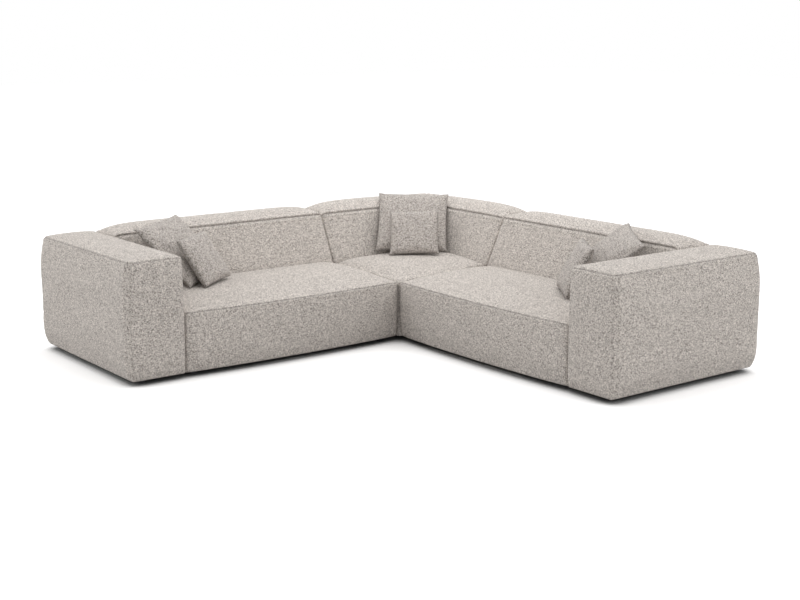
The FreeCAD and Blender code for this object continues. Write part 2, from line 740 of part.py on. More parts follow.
def wing_seat_frame(pilots):
    x0, x1 = "wing_frame_x0", "wing_frame_x1"
    y0, y1 = "frame_front", "frame_rear"
    across, along = (x0, x1), (y0, y1)
    middle = "(wing_frame_x0 + wing_frame_x1 - rail) / 2"
    parts = [
        box("wing_front_rail", across, (y0, f"{y0} + rail"), FRAME_Z),
        box("wing_rear_rail", across, (f"{y1} - rail", y1), FRAME_Z),
        box("wing_mid_rail", across, ("mid_rail", "mid_rail + rail"), FRAME_Z),
        box("wing_arm_rail", (x0, f"{x0} + rail"), along, FRAME_Z),
        box("wing_corner_rail", (f"{x1} - rail", x1), along, FRAME_Z),
        box("wing_brace", (middle, f"{middle} + rail"), along,
            ("frame_base", "frame_base + brace_height")),
    ]
    parts += blocks("wing_block", [x for x, y in WING_FEET[:4]], [y for x, y in WING_FEET[:4]])
    holes = bolt_holes("wing_rail_bore", (f"{x0} - bore_past", f"{x0} + rail + bore_past"))
    return cut("wing_base", fuse("wing_base_timber", parts), pilots[:4] + holes)


def back_panel(name, x):
    """An upright plywood panel of the back frame, with its leaning front edge."""
    made = doc.addObject("Part::Wedge", name)
    deep = "frame_rear - back_frame_low"
    # The wedge is drawn lying down: its Y is the height and its Z the depth, rear edge at zero
    bind(made, Xmin="0", X2min="0", Xmax="ply", X2max="ply", Ymin="0",
         Ymax="back_frame_top - frame_top", Zmin="0", Z2min="0", Zmax=deep,
         Z2max="frame_rear - back_frame_high")
    made.Placement.Rotation = Rotation(Vector(1, 0, 0), 90)
    return place(made, x, "frame_rear", "frame_top")


def back_rails(name, x0, x1):
    """The rails that join the panels of a back frame."""
    across = (x0, x1)
    top, foot, low = "back_frame_top", "frame_top", "back_frame_low + low_rail_inset"
    return [
        box(f"{name}_top_front", across, ("back_frame_high", "back_frame_high + rail"),
            (f"{top} - slat_width", top)),
        box(f"{name}_top_rear", across, ("frame_rear - rail", "frame_rear"),
            (f"{top} - slat_width", top)),
        box(f"{name}_low_front", across, (low, f"{low} + rail"),
            (foot, f"{foot} + slat_width")),
        box(f"{name}_low_rear", across, ("frame_rear - rail", "frame_rear"),
            (foot, f"{foot} + slat_width")),
    ]


def wing_back_frame():
    x0, x1 = "wing_frame_x0", "wing_frame_x1"
    panels = [back_panel("wing_back_panel_arm", x0),
              back_panel("wing_back_panel_mid", "(wing_frame_x0 + wing_frame_x1 - ply) / 2"),
              back_panel("wing_back_panel_corner", f"{x1} - ply")]
    return fuse("wing_back_timber", panels + back_rails("wing_back_rail", x0, x1))


def webbing(name, x0, x1):
    """Elastic straps stretched along the leaning front of a back frame."""
    rise, lean = size("back_frame_top - frame_top"), size("back_frame_high - back_frame_low")
    angle = -math.degrees(math.atan2(lean, rise))
    rows = int(size("webbing_rows"))
    straps = []
    for row in range(rows):
        share = f"({row} + 0.5) / {rows}"
        strap = doc.addObject("Part::Box", f"{name}_{row}")
        bind(strap, Length=f"({x1}) - ({x0})", Width="webbing_thickness", Height="webbing_width")
        strap.Placement.Rotation = Rotation(Vector(1, 0, 0), angle)
        run, length = rise / math.hypot(rise, lean), math.hypot(rise, lean)
        offset_y = f"- webbing_thickness * {run}"
        offset_z = f"webbing_thickness * {lean / length}"
        y = f"back_frame_low + (back_frame_high - back_frame_low) * {share}"
        z = f"frame_top + (back_frame_top - frame_top) * {share}"
        half = "webbing_width / 2"
        place(strap, x0, f"{y} - {half} * {lean / length} {offset_y}",
              f"{z} - {half} * {run} + {offset_z}")
        straps.append(strap)
    return compound(name + "_straps", straps)


def arm_frame(pilots):
    x0, x1 = "arm_frame_x0", "arm_frame_x1"
    y0, y1 = "arm_frame_y0", "arm_frame_y1"
    top = "arm_frame_top"
    tall = ("frame_base", top)
    parts = [
        box("arm_inner_panel", (f"{x1} - ply", x1), (y0, y1), tall),
        box("arm_outer_panel", (x0, f"{x0} + ply"), (y0, y1), tall),
        box("arm_front_panel", (x0, x1), (y0, f"{y0} + ply"), tall),
        box("arm_rear_panel", (x0, x1), (f"{y1} - ply", y1), tall),
        box("arm_top_panel", (x0, x1), (y0, y1), (f"{top} - ply", top)),
    ]
    parts += blocks("arm_block", [x for x, y in WING_FEET[4:]], [y for x, y in WING_FEET[4:]])
    for number, y in enumerate(("mount_front", "mount_rear")):
        parts.append(box(f"arm_pad_{number}", (x1, "wing_frame_x0"),
                         (f"{y} - pad_width / 2", f"{y} + pad_width / 2"),
                         ("pad_base", "pad_base + pad_height")))
    holes = bolt_holes("arm_bore", (f"{x1} - ply - bore_past", "wing_frame_x0 + bore_past"))
    return cut("arm_box", fuse("arm_timber", parts), pilots[4:] + holes)


def arm_foam():
    outer = box("arm_foam_block", ("arm_cavity_x0 + fit", "arm_cavity_x1 - fit"),
                ("arm_cavity_y0 + fit", "arm_cavity_y1 - fit"),
                ("frame_base", "arm_cavity_top - fit"))
    room = box("arm_foam_room", ("arm_frame_x0 - fit", "arm_cavity_x1 + bore_past"),
               ("arm_frame_y0 - fit", "arm_frame_y1 + fit"),
               ("frame_base - bore_past", "arm_frame_top + fit"))
    return cut("arm_foam_cap", outer, [room])


def arm_bolts():
    """Bolts from inside the arm frame, with a nut on each inside the seat frame."""
    parts = []
    start, end = "arm_frame_x1 - ply", "wing_frame_x0 + rail"
    for number, (y, z) in enumerate(bolt_places()):
        tag = f"arm_bolt_{number}"
        head = doc.addObject("Part::Prism", f"{tag}_head")
        bind(head, Circumradius="bolt_head_radius", Height="bolt_head_height")
        head.Polygon = 6
        head.Placement.Rotation = Rotation(Vector(0, 1, 0), 90)
        place(head, f"{start} - bolt_head_height", y, z)
        shank = rod_along_x(f"{tag}_shank", "bolt_radius", f"{end} - ({start}) + bolt_spare",
                            start, y, z)
        parts.append(fuse(tag, [head, shank]))
        nut = doc.addObject("Part::Prism", f"{tag}_nut_blank")
        bind(nut, Circumradius="bolt_head_radius", Height="nut_height")
        nut.Polygon = 6
        nut.Placement.Rotation = Rotation(Vector(0, 1, 0), 90)
        place(nut, end, y, z)
        thread = rod_along_x(f"{tag}_thread", "bolt_radius + thread_clear", "nut_height + 2 * bore_past",
                             f"{end} - bore_past", y, z)
        parts.append(cut(f"{tag}_nut", nut, [thread]))
    return compound("arm_bolt_set", parts)


CORNER_FEET = [("corner_frame_x0 + rail", "corner_frame_x0 + rail"),
               ("frame_rear - rail - block", "corner_frame_x0 + rail"),
               ("corner_frame_x0 + rail", "frame_rear - rail - block"),
               ("frame_rear - rail - block", "frame_rear - rail - block"),
               ("mid_rail - block", "mid_rail - block")]


def corner_seat_frame(pilots):
    low, high = "corner_frame_x0", "frame_rear"
    along = (low, high)
    parts = [
        box("corner_rail_front", along, (low, f"{low} + rail"), FRAME_Z),
        box("corner_rail_rear", along, (f"{high} - rail", high), FRAME_Z),
        box("corner_rail_left", (low, f"{low} + rail"), along, FRAME_Z),
        box("corner_rail_right", (f"{high} - rail", high), along, FRAME_Z),
        box("corner_rail_mid_x", along, ("mid_rail", "mid_rail + rail"), FRAME_Z),
        box("corner_rail_mid_y", ("mid_rail", "mid_rail + rail"), along, FRAME_Z),
    ]
    parts += blocks("corner_block", [x for x, y in CORNER_FEET], [y for x, y in CORNER_FEET])
    return cut("corner_base", fuse("corner_base_timber", parts), pilots)


def corner_back_frame():
    """Panels and rails on both rear sides of the corner, meeting at its outer edge."""
    x0 = "corner_frame_x0"
    left = [back_panel("corner_back_panel_end", x0),
            back_panel("corner_back_panel_inner", "back_frame_low - ply - corner_panel_clear")]
    left += back_rails("corner_back_rail", x0, "frame_rear")
    right = [mirror(part.Name + "_mirrored", part) for part in left]
    return fuse("corner_back_timber", left + right)


# Brackets: an upstanding lip on the corner and a hanging lip on the wing that drops behind it
def corner_bracket(name, y):
    """A plate on the corner's rail with a ledge and an upstanding lip in the gap."""
    wide = (f"{y} - bracket_width / 2", f"{y} + bracket_width / 2")
    face = "corner_frame_x0"
    lip = f"{face} - bracket_plate - 2 * bracket_play - 2 * bracket_lip"
    return fuse(name, [
        box(f"{name}_plate", (f"{face} - bracket_plate", face), wide,
            ("bracket_base", "bracket_base + bracket_height")),
        box(f"{name}_ledge", (lip, face), wide, ("bracket_base", "bracket_base + bracket_plate")),
        box(f"{name}_lip", (lip, f"{lip} + bracket_lip"), wide,
            ("bracket_base", "bracket_base + bracket_plate + bracket_overlap"))])


def wing_bracket(name, y):
    """A plate on the wing's rail with an arm and a lip that hangs behind the corner's lip."""
    wide = (f"{y} - bracket_width / 2", f"{y} + bracket_width / 2")
    face = "wing_frame_x1"
    lip = "corner_frame_x0 - bracket_plate - bracket_play - bracket_lip"
    arm_z = "bracket_base + bracket_plate + bracket_overlap + bracket_play"
    return fuse(name, [
        box(f"{name}_plate", (face, f"{face} + bracket_plate"), wide,
            (f"{arm_z} - bracket_overlap", f"{arm_z} + bracket_plate")),
        box(f"{name}_arm", (face, f"{lip} + bracket_lip"), wide,
            (arm_z, f"{arm_z} + bracket_plate")),
        box(f"{name}_lip", (lip, f"{lip} + bracket_lip"), wide,
            (f"{arm_z} - bracket_overlap + bracket_drop", f"{arm_z} + bracket_plate"))])


def dust_cover(name, sheets, feet_corners):
    """Thin cloth under a module, with a hole round every foot."""
    cloth = [box(f"{name}_{number}", x, y, ("frame_base - dust_cover", "frame_base"))
             for number, (x, y) in enumerate(sheets)]
    holes = [cylinder(f"{name}_hole_{number}", "foot_radius + bore_past", "4 * dust_cover",
                      foot_place(x), foot_place(y), "frame_base - 2 * dust_cover")
             for number, (x, y) in enumerate(feet_corners)]
    return cut(name + "_cloth", compound(name + "_sheets", cloth), holes)


# Modules
def make_wings():
    glides, screws, pilots = feet("wing_foot", WING_FEET)
    keep_both("seat_frame", wing_seat_frame(pilots))
    springs, clips = spring_set(size("wing_frame_x0"), size("wing_frame_x1"), size("frame_front"))
    keep_both("seat_springs", feature("wing_springs", springs))
    keep_both("spring_clips", feature("wing_clips", clips))
    keep_both("seat_foam", feature("wing_seat_foam", wing_seat_foam()))
    keep_both("seat_cover", feature("wing_seat_cover", wing_seat_cover()))
    keep_both("back_frame", wing_back_frame())
    keep_both("back_webbing", webbing("wing_webbing", "wing_frame_x0", "wing_frame_x1"))
    foam = back_foam(size("wing_x0"), size("wing_x1"))
    keep_both("back_foam", feature("wing_back_foam", foam))
    keep_both("back_cover", feature("wing_back_cover", wing_back_cover()))
    keep_both("arm_frame", arm_frame(pilots))
    keep_both("arm_foam", arm_foam())
    keep_both("arm_cover", feature("wing_arm_cover", arm_cover()))
    keep_both("arm_bolts", arm_bolts())
    keep_both("feet", glides)
    keep_both("foot_screws", screws)
    hooks = [wing_bracket(f"wing_bracket_{number}", y)
             for number, y in enumerate(("mount_front", "mount_rear"))]
    keep_both("connector_hooks", compound("wing_brackets", hooks))
    seat_cloth = (("wing_frame_x0", "wing_frame_x1"), ("frame_front", "frame_rear"))
    arm_cloth = (("arm_frame_x0", "arm_frame_x1"), ("arm_frame_y0", "arm_frame_y1"))
    keep_both("dust_cover", dust_cover("wing_dust", [seat_cloth, arm_cloth], WING_FEET))


def make_corner():
    glides, screws, pilots = feet("corner_foot", CORNER_FEET)
    keep("corner_seat_frame", corner_seat_frame(pilots))
    springs, clips = spring_set(size("corner_frame_x0 + rail"), size("mid_rail"),
                                size("corner_frame_x0"))
    keep("corner_seat_springs", feature("corner_springs", springs))
    keep("corner_spring_clips", feature("corner_clips", clips))
    keep("corner_seat_foam", feature("corner_seat_foam", corner_seat_foam()))
    keep("corner_seat_cover", feature("corner_seat_cover", corner_seat_cover()))
    keep("corner_back_frame", corner_back_frame())
    straps = webbing("corner_webbing", "corner_frame_x0", "back_frame_low - corner_panel_clear")
    both = [straps, mirror("corner_webbing_right", straps)]
    keep("corner_back_webbing", compound("corner_webbing", both))
    left_foam = feature("corner_foam_left", corner_back_foam())
    both = [left_foam, mirror("corner_foam_right", left_foam)]
    keep("corner_back_foam", compound("corner_back_foam", both))
    left_cover = feature("corner_cover_left", corner_back_cover())
    keep("corner_back_cover_left", left_cover)
    keep("corner_back_cover_right", mirror("corner_cover_right", left_cover))
    keep("corner_feet", glides)
    keep("corner_foot_screws", screws)
    sockets = [corner_bracket(f"corner_bracket_{number}", y)
               for number, y in enumerate(("mount_front", "mount_rear"))]
    sockets += [mirror(bracket.Name + "_right", bracket) for bracket in sockets]
    keep("corner_connector_sockets", compound("corner_brackets", sockets))
    cloth = (("corner_frame_x0", "frame_rear"), ("corner_frame_x0", "frame_rear"))
    keep("corner_dust_cover", dust_cover("corner_dust", [cloth], CORNER_FEET))


# Loose cushions: a level of the cushion is an outline of four arcs between four corners
LEVELS = (0.0, 0.15, 0.3, 0.45, 0.6, 0.75, 0.87, 0.97)


def cushion_reach(kind, level):
    """How far the corners and the middles of the sides stand out at a level."""
    reach, draw = size(f"{kind}_side") / 2, size(f"{kind}_draw")
    return reach * math.sqrt(1 - level), reach * math.sqrt(1 - level ** 2) - draw * (1 - level) ** 2


def cushion_outline(kind, level, inset):
    """The outline at a level, as a share of the half thickness, from seam to crown."""
    corner, middle = cushion_reach(kind, level)
    share = 1 - 2 * inset / size(f"{kind}_side")
    height = level * (size(f"{kind}_half_thickness") - inset * size("cushion_cloth")
                      / size("cushion_corner_cloth"))
    corner, middle = corner * share, middle * share
    points = [Vector(-corner, -corner, height), Vector(corner, -corner, height),
              Vector(corner, corner, height), Vector(-corner, corner, height)]
    middles = [Vector(0, -middle, height), Vector(middle, 0, height),
               Vector(0, middle, height), Vector(-middle, 0, height)]
    return Part.Wire([arc(points[k], middles[k], points[(k + 1) % 4]) for k in range(4)])


def cushion_solid(kind, inset=0.0):
    """A crowned cushion with drawn-in sides and pointed corners, flat about its own XY plane."""
    upper = loft([cushion_outline(kind, level, inset) for level in LEVELS])
    lower = upper.mirror(Vector(0, 0, 0), Vector(0, 0, 1))
    return upper.fuse(lower)


def side_at(kind, level, along):
    """How far out a side of the outline stands at a place along it."""
    corner, middle = cushion_reach(kind, level)
    rise = middle - corner
    radius = (corner ** 2 + rise ** 2) / (2 * rise)
    return middle - radius + math.copysign(math.sqrt(max(radius ** 2 - along ** 2, 0)), radius)


def half_thickness(kind, across, up):
    """Half the thickness of a cushion at a place on its middle plane, or None beside it."""
    def inside(level):
        corner = cushion_reach(kind, level)[0]
        near, far = sorted((abs(across), abs(up)))
        return near <= corner and far <= side_at(kind, level, near)
    if not inside(0.0):
        return None
    low, high = 0.0, 1.0
    while high - low > 0.002:
        level = (low + high) / 2
        low, high = (level, high) if inside(level) else (low, level)
    return low * size(f"{kind}_half_thickness")


# how finely a cushion is felt for contact, and how often it is let down and pushed back
OUTLINE_LEVELS, SIDE_STEPS, SETTLING_ROUNDS = 16, 8, 12


class Pose:
    """Where a cushion stands: its middle, and its axes to the side, up its face and out of it."""

    def __init__(self, kind, heading, lean, roll, bottom):
        turn, tip = math.radians(heading), math.radians(lean)
        level = Vector(math.cos(turn), math.sin(turn), 0)
        self.back = Vector(-math.sin(turn), math.cos(turn), 0)
        rise = self.back * math.sin(tip) + Vector(0, 0, math.cos(tip))
        self.out = self.back * -math.cos(tip) + Vector(0, 0, math.sin(tip))
        spin = Rotation(self.out, roll)
        self.side, self.up = spin.multVec(level), spin.multVec(rise)
        self.kind = kind
        self.middle = bottom + self.up * (size(f"{kind}_side") / 2)

    def points(self):
        """Points on the rear of the cushion and on its seam."""
        thick = size(f"{self.kind}_half_thickness")
        for level in [number / OUTLINE_LEVELS for number in range(OUTLINE_LEVELS)]:
            corner = cushion_reach(self.kind, level)[0]
            for number in range(-SIDE_STEPS, SIDE_STEPS + 1):
                along = corner * number / SIDE_STEPS
                reach = side_at(self.kind, level, along)
                for across, up in ((along, reach), (along, -reach), (reach, along), (-reach, along)):
                    yield (self.middle + self.side * across + self.up * up
                           - self.out * (thick * level))

    def local(self, point):
        away = point - self.middle
        return away.dot(self.side), away.dot(self.up), away.dot(self.out)

    def placement(self):
        axes = Rotation(self.side, self.up, self.out, "ZXY")
        return Placement(self.middle, axes)


def back_room(point, full, toward):
    """How far a point can move back along a direction before it meets the back."""
    face = back_face(point.z, full)
    return (face - point.y) / toward if face is not None else math.inf


def wing_room(point, direction):
    """The room behind a point on a wing, up to the back or the arm."""
    run = min(point.x - size("wing_x0"), size("wing_x1") - point.x)
    room = back_room(point, fullness(run), direction.y)
    arm = arm_face(point.z, point.y - FRONT)
    if arm is not None and point.y < HALF:
        room = min(room, (point.x - arm) / -direction.x)
    return room


def corner_room(point, direction):
    """The room behind a point in the corner, up to either of its backs."""
    other = Vector(point.y, point.x, point.z)
    return min(back_room(point, corner_fullness(point.x), direction.y),
               back_room(other, corner_fullness(point.y), direction.x))


def settle(pose, seat_line, room_behind):
    """Lets a cushion down on the seat and leans it on what stands behind it."""
    rest, lean_gap = size("cushion_rest"), size(f"{pose.kind}_lean_gap")

    def lower():
        drop = min(point.z - crowned(seat_line, point.x, point.y) for point in pose.points())
        pose.middle.z -= drop - rest

    for _ in range(SETTLING_ROUNDS):
        lower()
        room = min(room_behind(point, pose.back) for point in pose.points())
        pose.middle += pose.back * (room - lean_gap)
    lower()
    return pose


def room_before(large):
    """How far a point in front of a large cushion can move back before it meets it."""
    def room(point, direction):
        across, up, out = large.local(point)
        thick = half_thickness("large", across, up)
        return math.inf if thick is None else (out - thick) / -direction.dot(large.out)
    return room


def cushion_poses(place_name, start, seat_line, room_behind):
    """The large cushion of one place, and the small one that leans on it."""
    def angles(kind):
        return [size(f"{place_name}_{kind}_{what}") for what in ("heading", "lean", "roll")]
    large = settle(Pose("large", *angles("large"), start), seat_line, room_behind)
    large_foot = large.middle - large.up * (size("large_side") / 2)
    shift = large.side * size(f"{place_name}_small_shift")
    ahead = large.back * -(size("large_half_thickness") * 3)
    small = settle(Pose("small", *angles("small"), large_foot + shift + ahead), seat_line,
                   room_before(large))
    return large, small


def make_cushions():
    covers, fillings = {}, {}
    inset = size("cushion_corner_cloth")
    for kind in ("large", "small"):
        covers[kind] = cushion_solid(kind).cut(cushion_solid(kind, inset))
        fillings[kind] = cushion_solid(kind, inset + 3 * FIT)
    for place_name in ("left", "right"):
        across = size(f"{place_name}_large_across")
        start = Vector(ARM_INNER + across, SEAT_BACK - size("wing_cushion_ahead"), SEAM + RISE)
        poses = cushion_poses(place_name, start, wing_seat_line, wing_room)
        keep_cushions(place_name, poses, covers, fillings, place_name == "right")
    across, ahead = size("corner_large_across"), SEAT_BACK - size("corner_cushion_ahead")
    start = Vector(ahead + across, ahead - across, SEAM + RISE)
    poses = cushion_poses("corner", start, corner_seat_line, corner_room)
    keep_cushions("corner", poses, covers, fillings, False)


def keep_cushions(place_name, poses, covers, fillings, mirrored):
    for pose in poses:
        for what, shapes in (("cover", covers), ("filling", fillings)):
            name = f"{place_name}_{pose.kind}_cushion_{what}"
            made = feature(name + "_plain" if mirrored else name, shapes[pose.kind])
            made.Placement = pose.placement()
            keep(name, mirror(name, made) if mirrored else made)


make_corner()
make_wings()
make_cushions()
doc.recompute()

for thing in doc.Objects:
    if "Invalid" in thing.State or "Error" in thing.State:
        raise RuntimeError(f"{thing.Label} failed: {thing.State}")
for thing in SUB_PARTS:
    if thing.Shape.isNull() or not thing.Shape.isValid():
        raise RuntimeError(f"{thing.Label} has no valid shape")

os.makedirs("parts", exist_ok=True)
for thing in SUB_PARTS:
    thing.Shape.exportStep(f"parts/{thing.Label}.step")
    solids = len(thing.Shape.Solids)
    print(f"{thing.Label}: {solids} solid{'s' if solids > 1 else ''}, "
          f"{thing.Shape.Volume / 1e6:.3f} litres")
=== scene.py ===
# %% [markdown]
# A corner sofa in speckled bouclé
#
# This lesson dresses a corner sofa that a CAD program has already built: its timber, springs, brackets
# and feet come in as a fixed frame, in metres. We keep those parts and give them finishes, and we
# replace the plain CAD covers and cushions by soft fabric pieces with crowns, seams and creases.

# %% Load the frame
import bpy
import json
import math
import numpy as np
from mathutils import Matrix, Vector, noise


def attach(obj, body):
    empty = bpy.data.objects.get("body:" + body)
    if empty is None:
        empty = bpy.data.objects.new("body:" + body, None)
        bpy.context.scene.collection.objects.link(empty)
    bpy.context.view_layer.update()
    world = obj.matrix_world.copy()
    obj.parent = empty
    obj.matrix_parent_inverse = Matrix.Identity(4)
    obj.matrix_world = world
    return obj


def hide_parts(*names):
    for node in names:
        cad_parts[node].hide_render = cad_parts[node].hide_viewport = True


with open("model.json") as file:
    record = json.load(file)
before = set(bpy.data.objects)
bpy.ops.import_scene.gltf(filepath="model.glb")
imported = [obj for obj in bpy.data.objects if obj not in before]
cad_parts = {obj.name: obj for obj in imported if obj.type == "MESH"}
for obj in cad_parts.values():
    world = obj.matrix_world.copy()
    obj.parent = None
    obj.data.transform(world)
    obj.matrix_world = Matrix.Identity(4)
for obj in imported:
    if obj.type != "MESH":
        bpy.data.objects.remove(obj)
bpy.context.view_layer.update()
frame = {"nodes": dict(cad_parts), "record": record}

# %% [markdown]
# The sizes of the real sofa
#
# The sofa is a square corner module and two wings, one along each wall. We only describe the left
# wing and the left half of the corner, because the right side is their mirror in the plane X = Y.
# The fabric has to lie where the CAD covers lie, so the same measures are written here once more.

# %% Sizes in metres
HALF = 1.400
FRONT = HALF - 1.082
ARM_INNER = 0.314 - HALF
SEAT_BACK = HALF - 0.425
BACK_TOP_FRONT = HALF - 0.294
PANEL_GAP, MODULE_GAP = 0.002, 0.003
HEM, SEAT_SEAM, ARM_TOP, BACK_TOP, BEND = 0.025, 0.355, 0.652, 0.653, 0.375
TUCK, PUFF, DRAW = 0.008, 0.025, 0.006
EDGE_FALL, DRAW_LENGTH, END_FULLNESS = 0.060, 0.022, 0.1
ARM_CROWN, ARM_PUFF = 0.013, 0.012
SEAT_BOW, SEAT_PUFF, SEAT_ROUND, SEAT_RISE, SEAT_CROWN = 0.031, 0.010, 0.016, 0.036, 0.025
BACK_CROWN, CORNER_ROUND = 0.057, 0.045

TOUCH = 0.0006
WING_X0 = ARM_INNER + PANEL_GAP / 2 - TOUCH
WING_X1 = FRONT - MODULE_GAP / 2 + TOUCH
CORNER_X0 = FRONT + MODULE_GAP / 2 - TOUCH
SEAT_REAR = SEAT_BACK - PANEL_GAP / 2
BACK_FRONT = SEAT_BACK + PANEL_GAP / 2
print(f"wing seat {WING_X1 - WING_X0:.3f} m wide, {SEAT_REAR - FRONT:.3f} m deep")

# %% [markdown]
# Camera
#
# The photograph was taken with a long lens from a height of about 1.9 m. The place, the direction and
# the lens were solved from the sofa's own straight edges, so the render can be laid over the
# photograph. The two angles are in radians, as Blender wants them.

# %% Camera
EYE_PLACE = (-4.35254, -5.83281, 1.87384)
LOOK_DOWN, LOOK_ASIDE = 0.20804853, -0.650107565
eye = bpy.data.objects.new("camera", bpy.data.cameras.new("camera"))
bpy.context.scene.collection.objects.link(eye)
eye.location = EYE_PLACE
eye.rotation_euler = (math.radians(90) - LOOK_DOWN, 0.0, LOOK_ASIDE)
eye.data.sensor_width = 36.0
eye.data.lens = 60.67
bpy.context.scene.camera = eye
bpy.context.scene.view_settings.view_transform = "Standard"
print("lens", eye.data.lens, "mm")

# %% [markdown]
# Nodes in code
#
# A material is a small network of nodes. It could be clicked together by hand, but in code it can be
# read and repeated. The first helper adds a node and fills its inputs, either with a value or with a
# link from another node's output. The others are the three nodes that we need most often.

# %% Node helpers
def add(tree, kind, inputs=None, **settings):
    """Adds a node. Inputs are given by name or number, as values or as outputs of other nodes."""
    node = tree.nodes.new(kind)
    for name, value in settings.items():
        setattr(node, name, value)
    for key, value in (inputs or {}).items():
        if isinstance(value, bpy.types.NodeSocket):
            tree.links.new(value, node.inputs[key])
        else:
            node.inputs[key].default_value = value
    return node


def maths(tree, operation, a, b=0.0, clamp=False):
    return add(tree, "ShaderNodeMath", {0: a, 1: b}, operation=operation, use_clamp=clamp).outputs[0]


def mixed(tree, share, a, b):
    """Mixes two colours."""
    node = add(tree, "ShaderNodeMix", data_type="RGBA")
    for socket, value in (("Factor_Float", share), ("A_Color", a), ("B_Color", b)):
        target = next(s for s in node.inputs if s.identifier == socket)
        if isinstance(value, bpy.types.NodeSocket):
            tree.links.new(value, target)
        else:
            target.default_value = value
    return next(s for s in node.outputs if s.identifier == "Result_Color")


def spread(tree, value, low, high, to_low=0.0, to_high=1.0):
    """Stretches a range of values to another range."""
    return add(tree, "ShaderNodeMapRange",
               {"Value": value, "From Min": low, "From Max": high, "To Min": to_low,
                "To Max": to_high}).outputs["Result"]


print("node helpers:", add.__name__, maths.__name__, mixed.__name__, spread.__name__)

# %% [markdown]
# Groups that several materials share
#
# Grain, weave and edge wear come back in more than one material. Each is built once as a group whose
# inputs have names, and each material uses it with values of its own. A copy of the nodes in every
# material would look the same, but a later change would have to be made in all of them.

# %% Group helpers
SOCKETS = {"color": "NodeSocketColor", "value": "NodeSocketFloat", "vector": "NodeSocketVector"}


def start_group(name, inputs, outputs):
    """A shader group with named sockets. Inputs are (name, kind, default)."""
    tree = bpy.data.node_groups.new(name, "ShaderNodeTree")
    for label, kind, default in inputs:
        socket = tree.interface.new_socket(label, in_out="INPUT", socket_type=SOCKETS[kind])
        if default is not None:
            socket.default_value = default
    for label, kind in outputs:
        tree.interface.new_socket(label, in_out="OUTPUT", socket_type=SOCKETS[kind])
    return tree, tree.nodes.new("NodeGroupInput").outputs, tree.nodes.new("NodeGroupOutput").inputs


def use_group(tree, group, **inputs):
    node = tree.nodes.new("ShaderNodeGroup")
    node.node_tree = group
    for key, value in inputs.items():
        socket = node.inputs[key.replace("_", " ")]
        if isinstance(value, bpy.types.NodeSocket):
            tree.links.new(value, socket)
        else:
            socket.default_value = value
    return node.outputs


print("sockets of a group:", sorted(SOCKETS))

# %% [markdown]
# What every material has
#
# Each material starts with the main shader and with the place on the object in metres, so that a
# curl or a ring has its real size on every piece. At the end, colour, roughness and relief go into
# the shader. The relief is a bump: it only tilts the light, which is enough for yarn and grain.

# %% Material helpers
def start_material(name):
    """A material with its main shader and the place on the object, in metres."""
    made = bpy.data.materials.new(name)
    made.use_nodes = True
    tree = made.node_tree
    shader = tree.nodes["Principled BSDF"]
    place = tree.nodes.new("ShaderNodeTexCoord").outputs["Object"]
    return made, tree, shader, place


def finish_material(tree, shader, color, roughness, height, depth, strength=1.0):
    """Joins colour, roughness and relief to the main shader."""
    tree.links.new(color, shader.inputs["Base Color"])
    tree.links.new(roughness, shader.inputs["Roughness"])
    bump = add(tree, "ShaderNodeBump", {"Strength": strength, "Distance": depth, "Height": height})
    tree.links.new(bump.outputs["Normal"], shader.inputs["Normal"])


print("material helpers:", start_material.__name__, finish_material.__name__)

# %% [markdown]
# Bouclé
#
# Bouclé is woven from looped yarn, so its face is a field of small curls. This one mixes light cream,
# greige and taupe curls, which makes the speckle. Each cell of a Voronoi texture stands for one curl
# and gets a tone of its own by its cell colour. A finer layer breaks the curls up. Straight cells
# would look like gravel, so a noise bends the place first, and a few long, winding curls are added.

# %% The curls of the bouclé
BEND_BY, FINER, LONGER = 0.008, 2.2, 0.36
boucle_group, given, made = start_group(
    "boucle",
    [("Place", "vector", None), ("Curls per metre", "value", 150.0), ("Contrast", "value", 1.0),
     ("Dark yarn", "color", (0.24, 0.21, 0.19, 1)), ("Light yarn", "color", (0.80, 0.75, 0.70, 1)),
     ("Seam", "value", 0.0)],
    [("Color", "color"), ("Roughness", "value"), ("Height", "value")])
curl = add(boucle_group, "ShaderNodeTexNoise",
           {"Vector": given["Place"], "Scale": 170.0, "Detail": 2.0, "Roughness": 0.6})
bent = add(boucle_group, "ShaderNodeVectorMath", {0: curl.outputs["Color"], 1: (0.5, 0.5, 0.5)},
           operation="SUBTRACT")
bent = add(boucle_group, "ShaderNodeVectorMath", {0: bent.outputs[0], "Scale": BEND_BY},
           operation="SCALE")
bent = add(boucle_group, "ShaderNodeVectorMath", {0: bent.outputs[0], 1: given["Place"]},
           operation="ADD").outputs[0]
coarse = add(boucle_group, "ShaderNodeTexVoronoi",
             {"Vector": bent, "Scale": given["Curls per metre"], "Randomness": 1.0})
fine = add(boucle_group, "ShaderNodeTexVoronoi",
           {"Vector": bent, "Scale": maths(boucle_group, "MULTIPLY", given["Curls per metre"], FINER),
            "Randomness": 1.0})
coarse_tone = add(boucle_group, "ShaderNodeSeparateColor", {0: coarse.outputs["Color"]}).outputs[0]
fine_tone = add(boucle_group, "ShaderNodeSeparateColor", {0: fine.outputs["Color"]}).outputs[1]
worm = add(boucle_group, "ShaderNodeTexNoise",
           {"Vector": given["Place"], "Scale": maths(boucle_group, "MULTIPLY",
                                                     given["Curls per metre"], LONGER),
            "Detail": 1.0, "Roughness": 0.5}).outputs["Fac"]
off_line = maths(boucle_group, "ABSOLUTE", maths(boucle_group, "SUBTRACT", worm, 0.5))
worm = spread(boucle_group, off_line, 0.02, 0.13, 1.0, 0.0)
print("curl textures", [node.bl_label for node in (curl, coarse, fine)])

